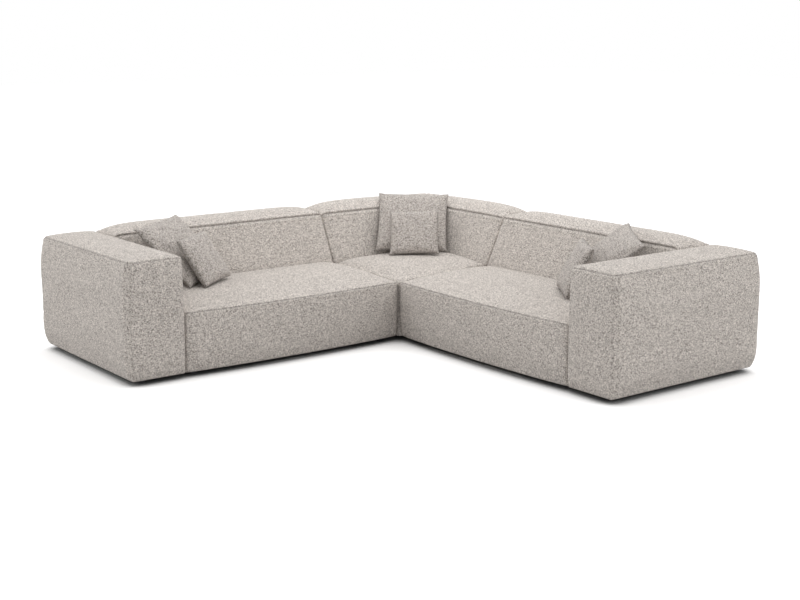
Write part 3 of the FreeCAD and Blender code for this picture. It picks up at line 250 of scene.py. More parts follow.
# %% [markdown]
# From curls to cloth
#
# Now the layers become one cloth. The tones of the curls are added up, and their spread round the
# middle is the contrast of the yarns. A slow noise gives the faint clouds that a large woven piece
# always has. Between the loops the colour is painted darker, a painted shade, and so it is along seams
# and hems: the mesh stores how near a seam is, and the group reads that as a mask of painted shade.

# %% Tone, shade and relief of the bouclé
COARSE_TONE, FINE_TONE, WORM_TONE, MIDDLE = 0.50, 0.25, 0.30, 0.5
CLOUD, COARSE_LOOP, FINE_LOOP, SEAM_DARK = 0.015, 0.6, 0.4, 0.5
fleck = maths(boucle_group, "ADD", maths(boucle_group, "MULTIPLY", coarse_tone, COARSE_TONE),
              maths(boucle_group, "MULTIPLY", fine_tone, FINE_TONE))
fleck = maths(boucle_group, "ADD", fleck, maths(boucle_group, "MULTIPLY", worm, WORM_TONE))
fleck = maths(boucle_group, "SUBTRACT", fleck, MIDDLE)
fleck = maths(boucle_group, "MULTIPLY", fleck, given["Contrast"])
fleck = maths(boucle_group, "ADD", fleck, MIDDLE)
clouds = add(boucle_group, "ShaderNodeTexNoise",
             {"Vector": given["Place"], "Scale": 7.0, "Detail": 3.0, "Roughness": 0.55})
clouds = spread(boucle_group, clouds.outputs["Fac"], 0.3, 0.7, -CLOUD, CLOUD)
fleck = maths(boucle_group, "ADD", fleck, clouds, clamp=True)
coarse_loop = maths(boucle_group, "SUBTRACT", 1.0, coarse.outputs["Distance"])
fine_loop = maths(boucle_group, "SUBTRACT", 1.0, fine.outputs["Distance"])
loops = maths(boucle_group, "ADD", maths(boucle_group, "MULTIPLY", coarse_loop, COARSE_LOOP),
              maths(boucle_group, "MULTIPLY", fine_loop, FINE_LOOP))
yarn = mixed(boucle_group, fleck, given["Dark yarn"], given["Light yarn"])
# painted shade: the colour is darkened in the hollows between the loops
between = spread(boucle_group, loops, 0.35, 0.75, 0.72, 1.04)
# painted shade along seams and cushion rims, from the seam mask on the mesh
shade = maths(boucle_group, "MULTIPLY", given["Seam"], SEAM_DARK)
shade = maths(boucle_group, "SUBTRACT", 1.0, shade)
shade = maths(boucle_group, "MULTIPLY", between, shade)
shaded = add(boucle_group, "ShaderNodeVectorMath", {0: yarn, "Scale": shade}, operation="SCALE")
boucle_group.links.new(shaded.outputs[0], made["Color"])
boucle_group.links.new(spread(boucle_group, loops, 0.3, 0.8, 1.0, 0.86), made["Roughness"])
boucle_group.links.new(loops, made["Height"])
print("bouclé group has", len(boucle_group.nodes), "nodes")

# %% [markdown]
# Bouclé for the covers and for the cushions
#
# Covers and cushions are cut from the same cloth. The cushions' yarns are painted darker and a little
# more speckled: the darker colours are painted shade for faces turned away from the light from above.
# The loose fibres on top catch light at a shallow angle, which is what the sheen of the shader is for.

# %% The two bouclé materials
CURLS_PER_METRE = 335.0
CURL_RELIEF, CURL_STRENGTH = 0.0025, 0.8
SHEEN, SHEEN_ROUGHNESS, GLOSS = 0.12, 0.6, 0.2


def make_boucle(name, contrast, dark, light):
    material, tree, shader, place = start_material(name)
    seam = add(tree, "ShaderNodeAttribute", attribute_name="seam").outputs["Fac"]
    cloth = use_group(tree, boucle_group, Place=place, Curls_per_metre=CURLS_PER_METRE,
                      Contrast=contrast, Dark_yarn=dark, Light_yarn=light, Seam=seam)
    finish_material(tree, shader, cloth["Color"], cloth["Roughness"], cloth["Height"],
                    CURL_RELIEF, CURL_STRENGTH)
    shader.inputs["Sheen Weight"].default_value = SHEEN
    shader.inputs["Sheen Roughness"].default_value = SHEEN_ROUGHNESS
    shader.inputs["Specular IOR Level"].default_value = GLOSS
    return material


finishes = {}
finishes["upholstery_boucle"] = make_boucle("boucle_upholstery", 2.0, (0.196, 0.170, 0.153, 1),
                                            (0.93, 0.857, 0.789, 1))
# the cushion cloth is the cover cloth with painted shade: its yarn colours are darker
finishes["cushion_boucle"] = make_boucle("boucle_cushion_painted_darker", 2.1, (0.140, 0.121, 0.110, 1),
                                         (0.78, 0.716, 0.660, 1))
print("materials", sorted(finishes))

# %% [markdown]
# Wood
#
# The base is planed pine and the uprights are birch plywood. Both are wood grain: long streaks, which
# come from a noise that is stretched along the board, and rings, which come from a distorted wave.
# Pine has strong, wide rings, and birch a pale, quiet face, so the group has an input for the
# strength of its rings.

# %% The wood group
wood_group, given, made = start_group(
    "wood_grain",
    [("Place", "vector", None), ("Rings per metre", "value", 40.0), ("Ring strength", "value", 0.5),
     ("Pale wood", "color", (0.75, 0.58, 0.38, 1)), ("Dark wood", "color", (0.5, 0.32, 0.17, 1))],
    [("Color", "color"), ("Roughness", "value"), ("Height", "value")])
along = add(wood_group, "ShaderNodeMapping",
            {"Vector": given["Place"], "Scale": (1.0, 1.0, 9.0)}).outputs[0]
rings = add(wood_group, "ShaderNodeTexWave",
            {"Vector": along, "Scale": given["Rings per metre"], "Distortion": 6.0,
             "Detail": 2.0, "Detail Scale": 0.6}, bands_direction="Z").outputs["Fac"]
fibres = add(wood_group, "ShaderNodeTexNoise",
             {"Vector": along, "Scale": 160.0, "Detail": 4.0, "Roughness": 0.7}).outputs["Fac"]
grain = maths(wood_group, "MULTIPLY", rings, given["Ring strength"])
grain = maths(wood_group, "ADD", grain, maths(wood_group, "MULTIPLY", fibres, 0.45), clamp=True)
wood_color = mixed(wood_group, grain, given["Pale wood"], given["Dark wood"])
wood_group.links.new(wood_color, made["Color"])
wood_group.links.new(spread(wood_group, fibres, 0.2, 0.8, 0.5, 0.75), made["Roughness"])
wood_group.links.new(grain, made["Height"])
print("wood group has", len(wood_group.nodes), "nodes")

# %% [markdown]
# Pine and plywood
#
# Both boards use the same group. Only their colours, the strength of the rings and the distance
# between them differ, and the planed face has a very shallow relief.

# %% The two woods
WOOD_RELIEF = 0.0004


def make_wood(name, rings_per_metre, strength, pale, dark):
    material, tree, shader, place = start_material(name)
    board = use_group(tree, wood_group, Place=place, Rings_per_metre=rings_per_metre,
                      Ring_strength=strength, Pale_wood=pale, Dark_wood=dark)
    finish_material(tree, shader, board["Color"], board["Roughness"], board["Height"],
                    WOOD_RELIEF)
    return material


finishes["pine"] = make_wood("planed_pine", 26.0, 0.55, (0.66, 0.45, 0.24, 1), (0.42, 0.22, 0.09, 1))
finishes["plywood"] = make_wood("birch_plywood", 60.0, 0.25, (0.70, 0.54, 0.34, 1),
                                (0.52, 0.35, 0.19, 1))
print("materials", len(finishes))

# %% [markdown]
# Metal
#
# Springs and brackets are steel with a black coat, and screws, bolts and clips are zinc plated. What
# they share is wear: edges lose their coat first. The bevel node tells how much the surface bends
# near a point, which finds the edges, and a noise breaks the worn line up.

# %% The wear group
wear_group, given, made = start_group(
    "edge_wear",
    [("Place", "vector", None), ("Coat", "color", (0.03, 0.03, 0.032, 1)),
     ("Bare", "color", (0.5, 0.5, 0.52, 1)), ("Edge width", "value", 0.0015),
     ("Coat roughness", "value", 0.45)],
    [("Color", "color"), ("Roughness", "value"), ("Worn", "value"), ("Height", "value")])
softened = add(wear_group, "ShaderNodeBevel", {"Radius": given["Edge width"]}, samples=6).outputs[0]
facing = add(wear_group, "ShaderNodeNewGeometry").outputs["Normal"]
turned = add(wear_group, "ShaderNodeVectorMath", {0: softened, 1: facing}, operation="DOT_PRODUCT")
edge = spread(wear_group, turned.outputs["Value"], 0.99, 0.80)
grit = add(wear_group, "ShaderNodeTexNoise",
           {"Vector": given["Place"], "Scale": 220.0, "Detail": 4.0, "Roughness": 0.65}).outputs["Fac"]
worn = maths(wear_group, "MULTIPLY", edge, spread(wear_group, grit, 0.42, 0.62), clamp=True)
wear_group.links.new(mixed(wear_group, worn, given["Coat"], given["Bare"]), made["Color"])
rough = maths(wear_group, "ADD", given["Coat roughness"], spread(wear_group, grit, 0.3, 0.7, -0.07, 0.1))
wear_group.links.new(rough, made["Roughness"])
wear_group.links.new(worn, made["Worn"])
wear_group.links.new(grit, made["Height"])
print("wear group has", len(wear_group.nodes), "nodes")

# %% [markdown]
# Springs, brackets and screws
#
# A coat on steel isn't metallic, but the bare steel at its worn edges is, so the worn mask drives
# the Metallic socket. Zinc plate is a metal all over, and its wear only makes it a little brighter.

# %% The three metals
METAL_RELIEF = 0.0001


def make_metal(name, coat, bare, roughness, plated):
    material, tree, shader, place = start_material(name)
    steel = use_group(tree, wear_group, Place=place, Coat=coat, Bare=bare, Coat_roughness=roughness)
    finish_material(tree, shader, steel["Color"], steel["Roughness"], steel["Height"],
                    METAL_RELIEF)
    if plated:
        shader.inputs["Metallic"].default_value = 1.0
    else:
        tree.links.new(steel["Worn"], shader.inputs["Metallic"])
    return material


finishes["spring_steel"] = make_metal("coated_spring_wire", (0.018, 0.018, 0.02, 1),
                                      (0.42, 0.42, 0.43, 1), 0.38, False)
finishes["bracket_steel"] = make_metal("coated_bracket", (0.02, 0.02, 0.022, 1),
                                       (0.48, 0.48, 0.5, 1), 0.5, False)
finishes["zinc_steel"] = make_metal("zinc_plate", (0.62, 0.62, 0.60, 1), (0.76, 0.75, 0.72, 1),
                                    0.34, True)
print("materials", len(finishes))

# %% [markdown]
# Threads
#
# The back is carried by woven elastic straps, and the underside is closed with a thin black cloth
# that is pressed from fibres. Both need threads, so one group makes them from two crossed waves,
# with lint over them. A picture of cloth would do as well, but waves stay sharp at any distance.

# %% The thread group
WAVE_PER_THREAD = 0.314
thread_group, given, made = start_group(
    "threads",
    [("Place", "vector", None), ("Threads per metre", "value", 500.0),
     ("Low", "color", (0.02, 0.02, 0.02, 1)), ("High", "color", (0.08, 0.08, 0.08, 1))],
    [("Color", "color"), ("Roughness", "value"), ("Height", "value")])
waves = maths(thread_group, "MULTIPLY", given["Threads per metre"], WAVE_PER_THREAD)
warp, weft = [add(thread_group, "ShaderNodeTexWave",
                  {"Vector": given["Place"], "Scale": waves, "Distortion": 0.6},
                  bands_direction=direction).outputs["Fac"] for direction in ("X", "Z")]
cross = maths(thread_group, "MAXIMUM", warp, weft)
lint = add(thread_group, "ShaderNodeTexNoise",
           {"Vector": given["Place"], "Scale": 400.0, "Detail": 3.0}).outputs["Fac"]
cross = maths(thread_group, "ADD", maths(thread_group, "MULTIPLY", cross, 0.6),
              maths(thread_group, "MULTIPLY", lint, 0.4))
thread_group.links.new(mixed(thread_group, cross, given["Low"], given["High"]), made["Color"])
thread_group.links.new(spread(thread_group, cross, 0.0, 1.0, 0.95, 0.8), made["Roughness"])
thread_group.links.new(cross, made["Height"])
print("thread group has", len(thread_group.nodes), "nodes")

# %% [markdown]
# Straps, dust cloth and glides
#
# The straps are coarse and grey-brown, and the dust cloth is fine and black. The round glides are
# moulded plastic, which needs no group: it is only a little mottled.

# %% The two cloths and the plastic
THREAD_RELIEF, PLASTIC_RELIEF = 0.0005, 0.0002


def make_threads(name, threads, low, high):
    material, tree, shader, place = start_material(name)
    cloth = use_group(tree, thread_group, Place=place, Threads_per_metre=threads, Low=low, High=high)
    finish_material(tree, shader, cloth["Color"], cloth["Roughness"], cloth["Height"],
                    THREAD_RELIEF)
    return material


finishes["elastic_webbing"] = make_threads("woven_strap", 420.0, (0.05, 0.045, 0.04, 1),
                                           (0.16, 0.145, 0.13, 1))
finishes["dust_cloth"] = make_threads("pressed_cloth", 900.0, (0.012, 0.012, 0.013, 1),
                                      (0.045, 0.045, 0.047, 1))
finishes["black_plastic"], tree, shader, place = start_material("moulded_plastic")
mottle = add(tree, "ShaderNodeTexNoise", {"Vector": place, "Scale": 300.0, "Detail": 5.0}).outputs["Fac"]
plastic = mixed(tree, mottle, (0.018, 0.018, 0.019, 1), (0.04, 0.04, 0.042, 1))
finish_material(tree, shader, plastic, spread(tree, mottle, 0.3, 0.7, 0.42, 0.6), mottle,
                PLASTIC_RELIEF)
print("materials", len(finishes))

# %% [markdown]
# Finishes for the parts that stay
#
# The record of the part says which finish each piece has. The hard parts keep their CAD shape and
# only get the material of that name.

# %% Finish the hard parts
slot_of = {row["node"]: row["material_slot"] for row in frame["record"]["subparts"]}
for node, thing in frame["nodes"].items():
    if slot_of[node] in finishes:
        thing.data.materials.clear()
        thing.data.materials.append(finishes[slot_of[node]])
print("finished", sum(slot in finishes for slot in slot_of.values()), "nodes")

# %% [markdown]
# How a cover is built
#
# Every cover of the sofa is a soft box. We lay a net of lines over a plain box, round its edges, and
# only then bend the box into its real shape with a formula. That keeps the mesh in clean four-sided
# faces that follow the cloth. The lines are close together near the edges, where the seams will be,
# and even in between.

# %% The lines of the net
NEAR_SEAM = np.array([0, 4, 9, 14, 19, 23, 26, 29, 32, 36, 42, 50]) / 1000
NET_STEP = 0.018


def net_lines(length):
    """Places of the net's lines along one side of the box."""
    count = max(2, round((length - 2 * NEAR_SEAM[-1]) / NET_STEP))
    middle = np.linspace(NEAR_SEAM[-1], length - NEAR_SEAM[-1], count + 1)
    return np.concatenate([NEAR_SEAM[:-1], middle, (length - NEAR_SEAM[:-1])[::-1]])


print("lines along 1 m:", len(net_lines(1.0)))

# %% [markdown]
# The points of the net
#
# The lines of the three directions make a grid in space, and the net is its outer skin. Points on
# the edges belong to two or three sides. They are numbered once, so that the sides hang together
# and the cloth can't come apart there.

# %% The points of the net
def skin_of(size):
    """The lines over a box, a number for each point on its skin, and the points themselves."""
    lines = [net_lines(length) for length in size]
    counts = [len(line) for line in lines]
    index = np.full(counts, -1)
    on_skin = np.zeros(counts, bool)
    for axis in range(3):
        on_skin[tuple(slice(None) if a != axis else [0, -1] for a in range(3))] = True
    index[on_skin] = np.arange(on_skin.sum())
    spots = np.argwhere(on_skin)
    return lines, index, np.stack([lines[a][spots[:, a]] for a in range(3)], axis=1)


print("points over a box of 1 by 1 by 0.5 m:", len(skin_of((1.0, 1.0, 0.5))[2]))

# %% [markdown]
# The faces of the net
#
# Each side gets its faces from the same grid. The bottom stays open apart from the hem that is
# folded under, and where brackets and bolted pads pass through a cover the faces are left out too.
# A Boolean would cut such openings more exactly, but it would leave ragged faces round them, and
# the openings are hidden between the modules anyway.

# %% The net over a box
HEM_LIP = 0.030


def left_out(side, b, c, size, openings):
    """Which faces of a side are left out: the open bottom, and the openings that lie on it."""
    out = np.zeros(b.shape, bool)
    if side == (2, 0):
        out |= (b > HEM_LIP) & (b < size[0] - HEM_LIP) & (c > HEM_LIP) & (c < size[1] - HEM_LIP)
    for axis, end, low, high in openings:
        if side == (axis, end):
            out |= (b > low[0]) & (b < high[0]) & (c > low[1]) & (c < high[1])
    return out


def net_over(size, openings):
    """Points and faces of the net over a box. Openings are (axis, end, low corner, high corner)."""
    lines, index, points = skin_of(size)
    middles = [(line[1:] + line[:-1]) / 2 for line in lines]
    faces = []
    for axis in range(3):
        b, c = np.meshgrid(*[middles[a] for a in range(3) if a != axis], indexing="ij")
        for end in (0, -1):
            side = np.take(index, end, axis=axis)
            quads = np.stack([side[:-1, :-1], side[1:, :-1], side[1:, 1:], side[:-1, 1:]], axis=-1)
            chosen = quads[~left_out((axis, end), b, c, size, openings)]
            outward = (end == -1) != (axis == 1)
            faces.append(chosen if outward else chosen[:, ::-1])
    return points, np.concatenate(faces)


print("faces over a box of 1 by 1 by 0.5 m:", len(net_over((1.0, 1.0, 0.5), [])[1]))

# %% [markdown]
# Round edges
#
# Foam never has a sharp edge. Near an edge of the box the points are drawn in to a quarter circle,
# which is simple as long as the box is still plain. The Bevel tool would do it too, but it would
# change the net that the seams are measured on. Each side has a short name: its axis and its end.

# %% Round the edges of the box
def depth(points, size, side):
    """How deep each point lies behind a side of the box. A side is (axis, end)."""
    axis, end = side
    return points[:, axis] if end == 0 else size[axis] - points[:, axis]


def round_edge(points, size, first, second, radius):
    """Rounds one edge of the box, where two of its sides meet."""
    a, b = radius - depth(points, size, first), radius - depth(points, size, second)
    near = (a > 0) & (b > 0)
    shrink = np.maximum(a[near], b[near]) / np.hypot(a[near], b[near])
    for (axis, end), into in ((first, a), (second, b)):
        sign = -1 if end == 0 else 1
        points[near, axis] += sign * into[near] * (shrink - 1)


X0, X1, Y0, Y1, Z0, Z1 = (0, 0), (0, -1), (1, 0), (1, -1), (2, 0), (2, -1)
print("sides of the box", [X0, X1, Y0, Y1, Z0, Z1])

# %% [markdown]
# Where the seams run
#
# Most seams of the sofa lie on an edge of a box, and a few run beside one. A seam is written down as
# the side that it is on, the side that it follows and its distance from that. With this the distance
# of every point to the seam is easy to work out, which drawn curves wouldn't give. Two more numbers
# say how deep the seam is sunk and how much painted shade darkens the cloth along it.

# %% Two kinds of seam
SEAM_SINK, SEAM_SHADE = 0.0032, 0.60


def sewn_edge(first, second, sink=SEAM_SINK, shade=SEAM_SHADE):
    """A seam where two sides of the box meet."""
    return first, second, 0.0, sink, shade


def sewn_line(on, beside, away, sink, shade):
    """A seam on one side of the box, at a distance from the side beside it."""
    return on, beside, away, sink, shade


print("an edge seam", sewn_edge(Y0, Z1))

# %% [markdown]
# Points of a mesh
#
# A mesh keeps its points as one long row of numbers. Reading and writing the row at once is much
# faster than going through the points one by one. Soft cloth also needs smooth, repeatable noise:
# the noise of a place is always the same, so the script gives the same sofa each time.

# %% Read and move the points
NOISE_SHIFT = 0.7


def soft_noise(points, wavelength, offset):
    """Smooth noise between about -1 and 1 for each point."""
    shift = Vector((offset, offset * NOISE_SHIFT, -offset))
    return np.array([noise.noise(Vector(p) / wavelength + shift) for p in points])


def normals_of(mesh):
    mesh.update()
    flat = np.zeros(len(mesh.vertices) * 3, np.float32)
    mesh.vertex_normals.foreach_get("vector", flat)
    return flat.reshape(-1, 3).astype(float)


def points_of(mesh):
    flat = np.zeros(len(mesh.vertices) * 3, np.float32)
    mesh.vertices.foreach_get("co", flat)
    return flat.reshape(-1, 3).astype(float)


def set_points(mesh, points):
    mesh.vertices.foreach_set("co", points.astype(np.float32).ravel())
    mesh.update()


print("noise at one place", soft_noise([(0.1, 0.2, 0.3)], 1.0, 0.0).round(3))

# %% [markdown]
# Seams, puckers and slack
#
# Where two panels are sewn together the cloth is pulled in along a narrow line, stands up a little
# on both sides of it and puckers at every few centimetres. We move each point along its normal by
# that rule. The distance to the seam also gives a painted shade, which is stored on the mesh for the
# material to darken the cloth. A displacement texture could do this too, but it wouldn't know where
# the seams are.

# %% Sew a cover
SEAM_WIDTH, SHADE_WIDTH = 0.0050, 0.0050
SWELL, SWELL_PLACE, SWELL_WIDTH = 0.5, 0.015, 0.010
PUCKER, PUCKER_WAVE, PUCKER_REACH = 0.0016, 0.040, 0.035
SLACK, SLACK_WAVE, SLACK_REACH, FINE_SLACK = 0.0010, 0.22, 0.04, 0.4
NEXT_NOISE, LAST_NOISE = 3, 7


def sew(mesh, reaches, seams, free, offset):
    """Pulls the seams in, lets the cloth swell beside them and gives it a little slack."""
    points = points_of(mesh)
    move, shade = np.zeros(len(points)), np.zeros(len(points))
    for reach, (_, _, _, sink, dark) in zip(reaches, seams):
        move -= sink * np.exp(-(reach / SEAM_WIDTH) ** 2)
        move += SWELL * sink * np.exp(-((reach - SWELL_PLACE) / SWELL_WIDTH) ** 2)
        shade = np.maximum(shade, dark * np.exp(-(reach / SHADE_WIDTH) ** 2))
    nearest = np.min(reaches, axis=0)
    move += PUCKER * soft_noise(points, PUCKER_WAVE, offset) * np.exp(-nearest / PUCKER_REACH)
    clouds = soft_noise(points, SLACK_WAVE, offset + NEXT_NOISE)
    clouds += FINE_SLACK * soft_noise(points, SLACK_WAVE / 3, offset + LAST_NOISE)
    move += SLACK * clouds * (1 - np.exp(-nearest / SLACK_REACH))
    set_points(mesh, points + normals_of(mesh) * (move * free)[:, None])
    # the seam mask holds painted shade, by which the bouclé darkens its colour
    layer = mesh.attributes.new("seam", "FLOAT", "POINT")
    layer.data.foreach_set("value", shade.astype(np.float32))


print("puckers every", round(PUCKER_WAVE * 1000), "mm or so")

# %% [markdown]
# Filling a cover
#
# The foam inside presses on the cloth from within. A short cloth simulation does the same: the cover
# is held along its seams and hem, a light pressure blows it out, and the spare width of the cloth
# settles into soft waves. Formulas alone would give a cover that looks blown from glass.

# %% Cloth by simulation
CLOTH_MASS, CLOTH_STEPS = 0.3, 5


def blown_out(piece, frames, pressure, spare, stiffness, bend):
    """Adds the simulation. Points of the group held keep their place."""
    cloth = piece.modifiers.new("filling", "CLOTH")
    settings = cloth.settings
    settings.quality = CLOTH_STEPS
    settings.mass = CLOTH_MASS
    settings.tension_stiffness = stiffness
    settings.compression_stiffness = stiffness
    settings.shear_stiffness = stiffness / 2
    settings.bending_stiffness = bend
    settings.vertex_group_mass = "held"
    settings.shrink_min = -spare
    settings.use_pressure = True
    settings.uniform_pressure_force = pressure
    settings.effector_weights.gravity = 0.0
    cloth.collision_settings.use_collision = False
    cloth.point_cache.frame_start = 1
    cloth.point_cache.frame_end = frames + 1
    return cloth


print("simulation", "on")

# %% [markdown]
# Keeping the result
#
# The simulation runs for a few frames, and we only keep where the points went. How far a point may
# move is capped smoothly, so that the piece keeps its place and its gaps to the neighbours. The
# modifier is then removed, because a simulation that is left in a file can start again by itself.

# %% Fill a piece
HELD_BELOW, NO_LENGTH = 0.001, 1e-9


def filled(piece, free, frames, pressure, cap, spare, stiffness, bend):
    """Blows a piece out. Points whose free share is 0 are held, and no point moves past the cap."""
    held = piece.vertex_groups.new(name="held")
    held.add([int(i) for i in np.flatnonzero(free <= HELD_BELOW)], 1.0, "REPLACE")
    cloth = blown_out(piece, frames, pressure, spare, stiffness, bend)
    start = points_of(piece.data)
    for number in range(1, frames + 1):
        bpy.context.scene.frame_set(number)
    graph = bpy.context.evaluated_depsgraph_get()
    shown = piece.evaluated_get(graph)
    move = points_of(shown.to_mesh()) - start
    shown.to_mesh_clear()
    piece.modifiers.remove(cloth)
    piece.vertex_groups.remove(held)
    bpy.context.scene.frame_set(1)
    length = np.linalg.norm(move, axis=1)
    move *= (free * cap * np.tanh(length / cap) / np.maximum(length, NO_LENGTH))[:, None]
    set_points(piece.data, start + move)


print("points are held below a free share of", HELD_BELOW)

# %% [markdown]
# From points to a piece
#
# A piece of cloth is an object with a mesh of its own. Blender can make a mesh from a list of points
# and a list of faces, and that is all we need, because the shapes come from our own formulas.

# %% Make a piece
def new_piece(name, points, faces):
    mesh = bpy.data.meshes.new(name)
    mesh.from_pydata([tuple(p) for p in points], [], [tuple(int(i) for i in f) for f in faces])
    mesh.validate()
    piece = bpy.data.objects.new(name, mesh)
    bpy.context.scene.collection.objects.link(piece)
    return piece


# %% [markdown]
# From a net to a cover
#
# All covers are made in the same five steps: lay the net, round its edges, bend it into shape, fill
# it and sew it. Only the shape and the lists of rounds and seams differ. A round names two sides of
# the box and a radius in metres. The sides that face a neighbour are kept still, so that the gaps
# between the modules stay open.

# %% Make a cover
STILL_REACH = 0.020
FILL_FRAMES, FILL_PRESSURE, FILL_CAP, SPARE_CLOTH = 14, 3.0, 0.005, 0.006
COVER_STIFFNESS, COVER_BEND = 20.0, 2.0


def cover(name, size, shape, rounds, seams, still, offset, openings):
    """A fabric cover in its place. Its still sides face a neighbour and keep quite flat."""
    points, faces = net_over(size, openings)
    used = np.unique(faces)
    place = np.full(len(points), -1)
    place[used] = np.arange(len(used))
    points, faces = points[used], place[faces]
    reaches = np.array([np.hypot(depth(points, size, on), depth(points, size, beside) - away)
                        for on, beside, away, _, _ in seams])
    free = np.min([np.clip(depth(points, size, side) / STILL_REACH, 0, 1) for side in still + [Z0]],
                  axis=0)
    for first, second, radius in rounds:
        round_edge(points, size, first, second, radius)
    piece = new_piece(name, shape(points / np.array(size)), faces)
    loose = free * np.clip(reaches.min(axis=0) / STILL_REACH, 0, 1)
    filled(piece, loose, FILL_FRAMES, FILL_PRESSURE, FILL_CAP, SPARE_CLOTH, COVER_STIFFNESS,
           COVER_BEND)
    sew(piece.data, reaches, seams, free, offset)
    return piece


print("a cover is filled over", FILL_FRAMES, "frames")

# %% [markdown]
# Dressing a piece
#
# A finished piece gets its cloth and moves with its body, and the CAD parts that it stands for are
# hidden. The cover also gets a thickness, which shows at the hem. A modifier makes that shell, so
# that the net itself stays simple.

# %% Dress a piece
CLOTH_THICKNESS = 0.002


def dress(piece, body, slot, fill, *nodes):
    """Finishes a fabric piece, ties it to its body and hides the CAD nodes that it stands for."""
    piece.data.materials.append(finishes[slot])
    piece.data.polygons.foreach_set("use_smooth", [True] * len(piece.data.polygons))
    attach(piece, body)
    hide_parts(*nodes)


def thicken(piece):
    """Gives the cloth its thickness, inwards."""
    shell = piece.modifiers.new("cloth", "SOLIDIFY")
    shell.thickness = CLOTH_THICKNESS
    shell.offset = -1


print("cloth is", CLOTH_THICKNESS * 1000, "mm thick")

# %% [markdown]
# The other wing
#
# The right wing is the left one mirrored in the plane X = Y, which just swaps the two numbers of
# each point in the plan. A Mirror modifier only mirrors in the planes of the axes. Both covers of a
# pair are dressed in the same way, each for its own module.

# %% Mirror a piece
def mirrored(piece, name):
    """The same piece on the right side."""
    mesh = piece.data.copy()
    set_points(mesh, points_of(piece.data)[:, [1, 0, 2]])
    mesh.flip_normals()
    mesh.name = name
    twin = bpy.data.objects.new(name, mesh)
    bpy.context.scene.collection.objects.link(twin)
    return twin


def dress_both(left, kind, fill):
    """Makes the right wing's cover from the left one, and dresses both."""
    right = mirrored(left, f"right_{kind}_upholstery")
    for side, piece in (("left", left), ("right", right)):
        thicken(piece)
        dress(piece, f"{side}_module", "upholstery_boucle", fill, f"{side}_{kind}_cover",
              f"{side}_{kind}_foam")


print("a right cover is a left one with X and Y swapped")

# %% [markdown]
# Curves of a panel
#
# Three small curves say how an upholstered panel behaves. Its crown rises from the ends, its ends
# are drawn in by the seams, and it bulges between two seams. They could be drawn by hand for each
# panel, but the same cloth and foam behave alike everywhere.

# %% Three curves
def fullness(run):
    """How far a crown has risen at a distance from the end of a panel."""
    return 1 - (1 - END_FULLNESS) * np.exp(-np.maximum(run, 0) / EDGE_FALL)


def pull(run):
    """How far the cover is drawn in near the end of a panel."""
    return DRAW * np.exp(-np.maximum(run, 0) / DRAW_LENGTH)


def puffed(share, power=2.0):
    """A bulge between two seams. A high power makes it full right from the seams."""
    return 1 - np.abs(2 * share - 1) ** power


print("crown 50 mm from the end:", fullness(0.050).round(2))

# %% [markdown]
# Arms
#
# The arms are wide, flat-topped blocks. The outer side and the rear puff out between the top seam and
# the hem, the front puffs a little, and the top has a low crown. The lower half is full nearly down
# to the hem, because the wadding sinks there.

# %% The arm's shape
UPPER_BULGE, LOWER_BULGE = 3.2, 6.5
ARM_X1 = ARM_INNER - PANEL_GAP / 2 + TOUCH
ARM_SIZE = (ARM_X1 + HALF, HALF - FRONT, ARM_TOP - HEM)


def arm_shape(share):
    across, along, up = share.T
    y_plain = FRONT + along * (HALF - FRONT)
    run = np.minimum(y_plain - FRONT + ARM_PUFF, HALF + PUFF - y_plain)
    drawn, full = pull(run), fullness(run)
    bulge = np.where(up > 0.5, puffed(up, UPPER_BULGE), puffed(up, LOWER_BULGE))
    outer = -HALF - PUFF * bulge + drawn
    inner = ARM_X1 - drawn
    front = FRONT - ARM_PUFF * bulge
    rear = HALF + PUFF * bulge
    top = ARM_TOP - drawn + ARM_CROWN * full * 4 * across * (1 - across)
    return np.stack([outer + across * (inner - outer), front + along * (rear - front),
                     HEM + up * (top - HEM)], axis=1)


print("arm", [round(length, 3) for length in ARM_SIZE], "m")

# %% [markdown]
# Openings between the modules
#
# An arm is bolted to the seat through two pads, and the modules hang together by brackets. Both pass
# through the covers, so each opening is a little larger than the steel or wood in it. Those of the
# brackets are also taller, because a wing is lifted off with its hooks.

# %% Openings in the covers
PAD_Y = (0.4914, 1.2246)
PAD_OPENING, HOOK_OPENING = (0.066, 0.058, 0.172), (0.036, 0.055, 0.197)


def opening(y, net_start, end, reach, low, high):
    """An opening in a side across X, in the net's own measures. The net starts at a place along Y."""
    return (0, end, (y - net_start - reach, low - HEM), (y - net_start + reach, high - HEM))


print("bolted pads at", PAD_Y, "m along the wing")

# %% [markdown]
# Making the arms
#
# A seam runs round the top panel and down both edges of the front panel, where it lies a little
# beside the edge. The rear outer edge is turned softly without one.

# %% Both arms
BESIDE_EDGE = 0.019
ARM_ROUNDS = [(X0, Y1, 0.040), (Y1, Z1, 0.035), (X0, Z1, 0.012), (Y0, Z1, 0.012), (X1, Z1, 0.012),
              (X0, Y0, 0.034), (X1, Y0, 0.024), (X1, Y1, 0.024), (X0, Z0, 0.018), (Y1, Z0, 0.018),
              (Y0, Z0, 0.020), (X1, Z0, 0.010)]
ARM_SEAMS = [sewn_edge(X0, Z1, 0.0036, 0.80), sewn_edge(Y0, Z1, 0.0036, 0.80),
             sewn_edge(X1, Z1, 0.002, 0.2),
             sewn_line(X0, Y0, BESIDE_EDGE, 0.0022, 0.2),
             sewn_line(Y0, X0, BESIDE_EDGE, 0.0022, 0.2)]
left_arm = cover("left_arm_upholstery", ARM_SIZE, arm_shape, ARM_ROUNDS, ARM_SEAMS, [X1], 11.0,
                 [opening(y, FRONT, -1, *PAD_OPENING) for y in PAD_Y])
dress_both(left_arm, "arm", 0.95)
print("arm net", len(left_arm.data.polygons), "faces")

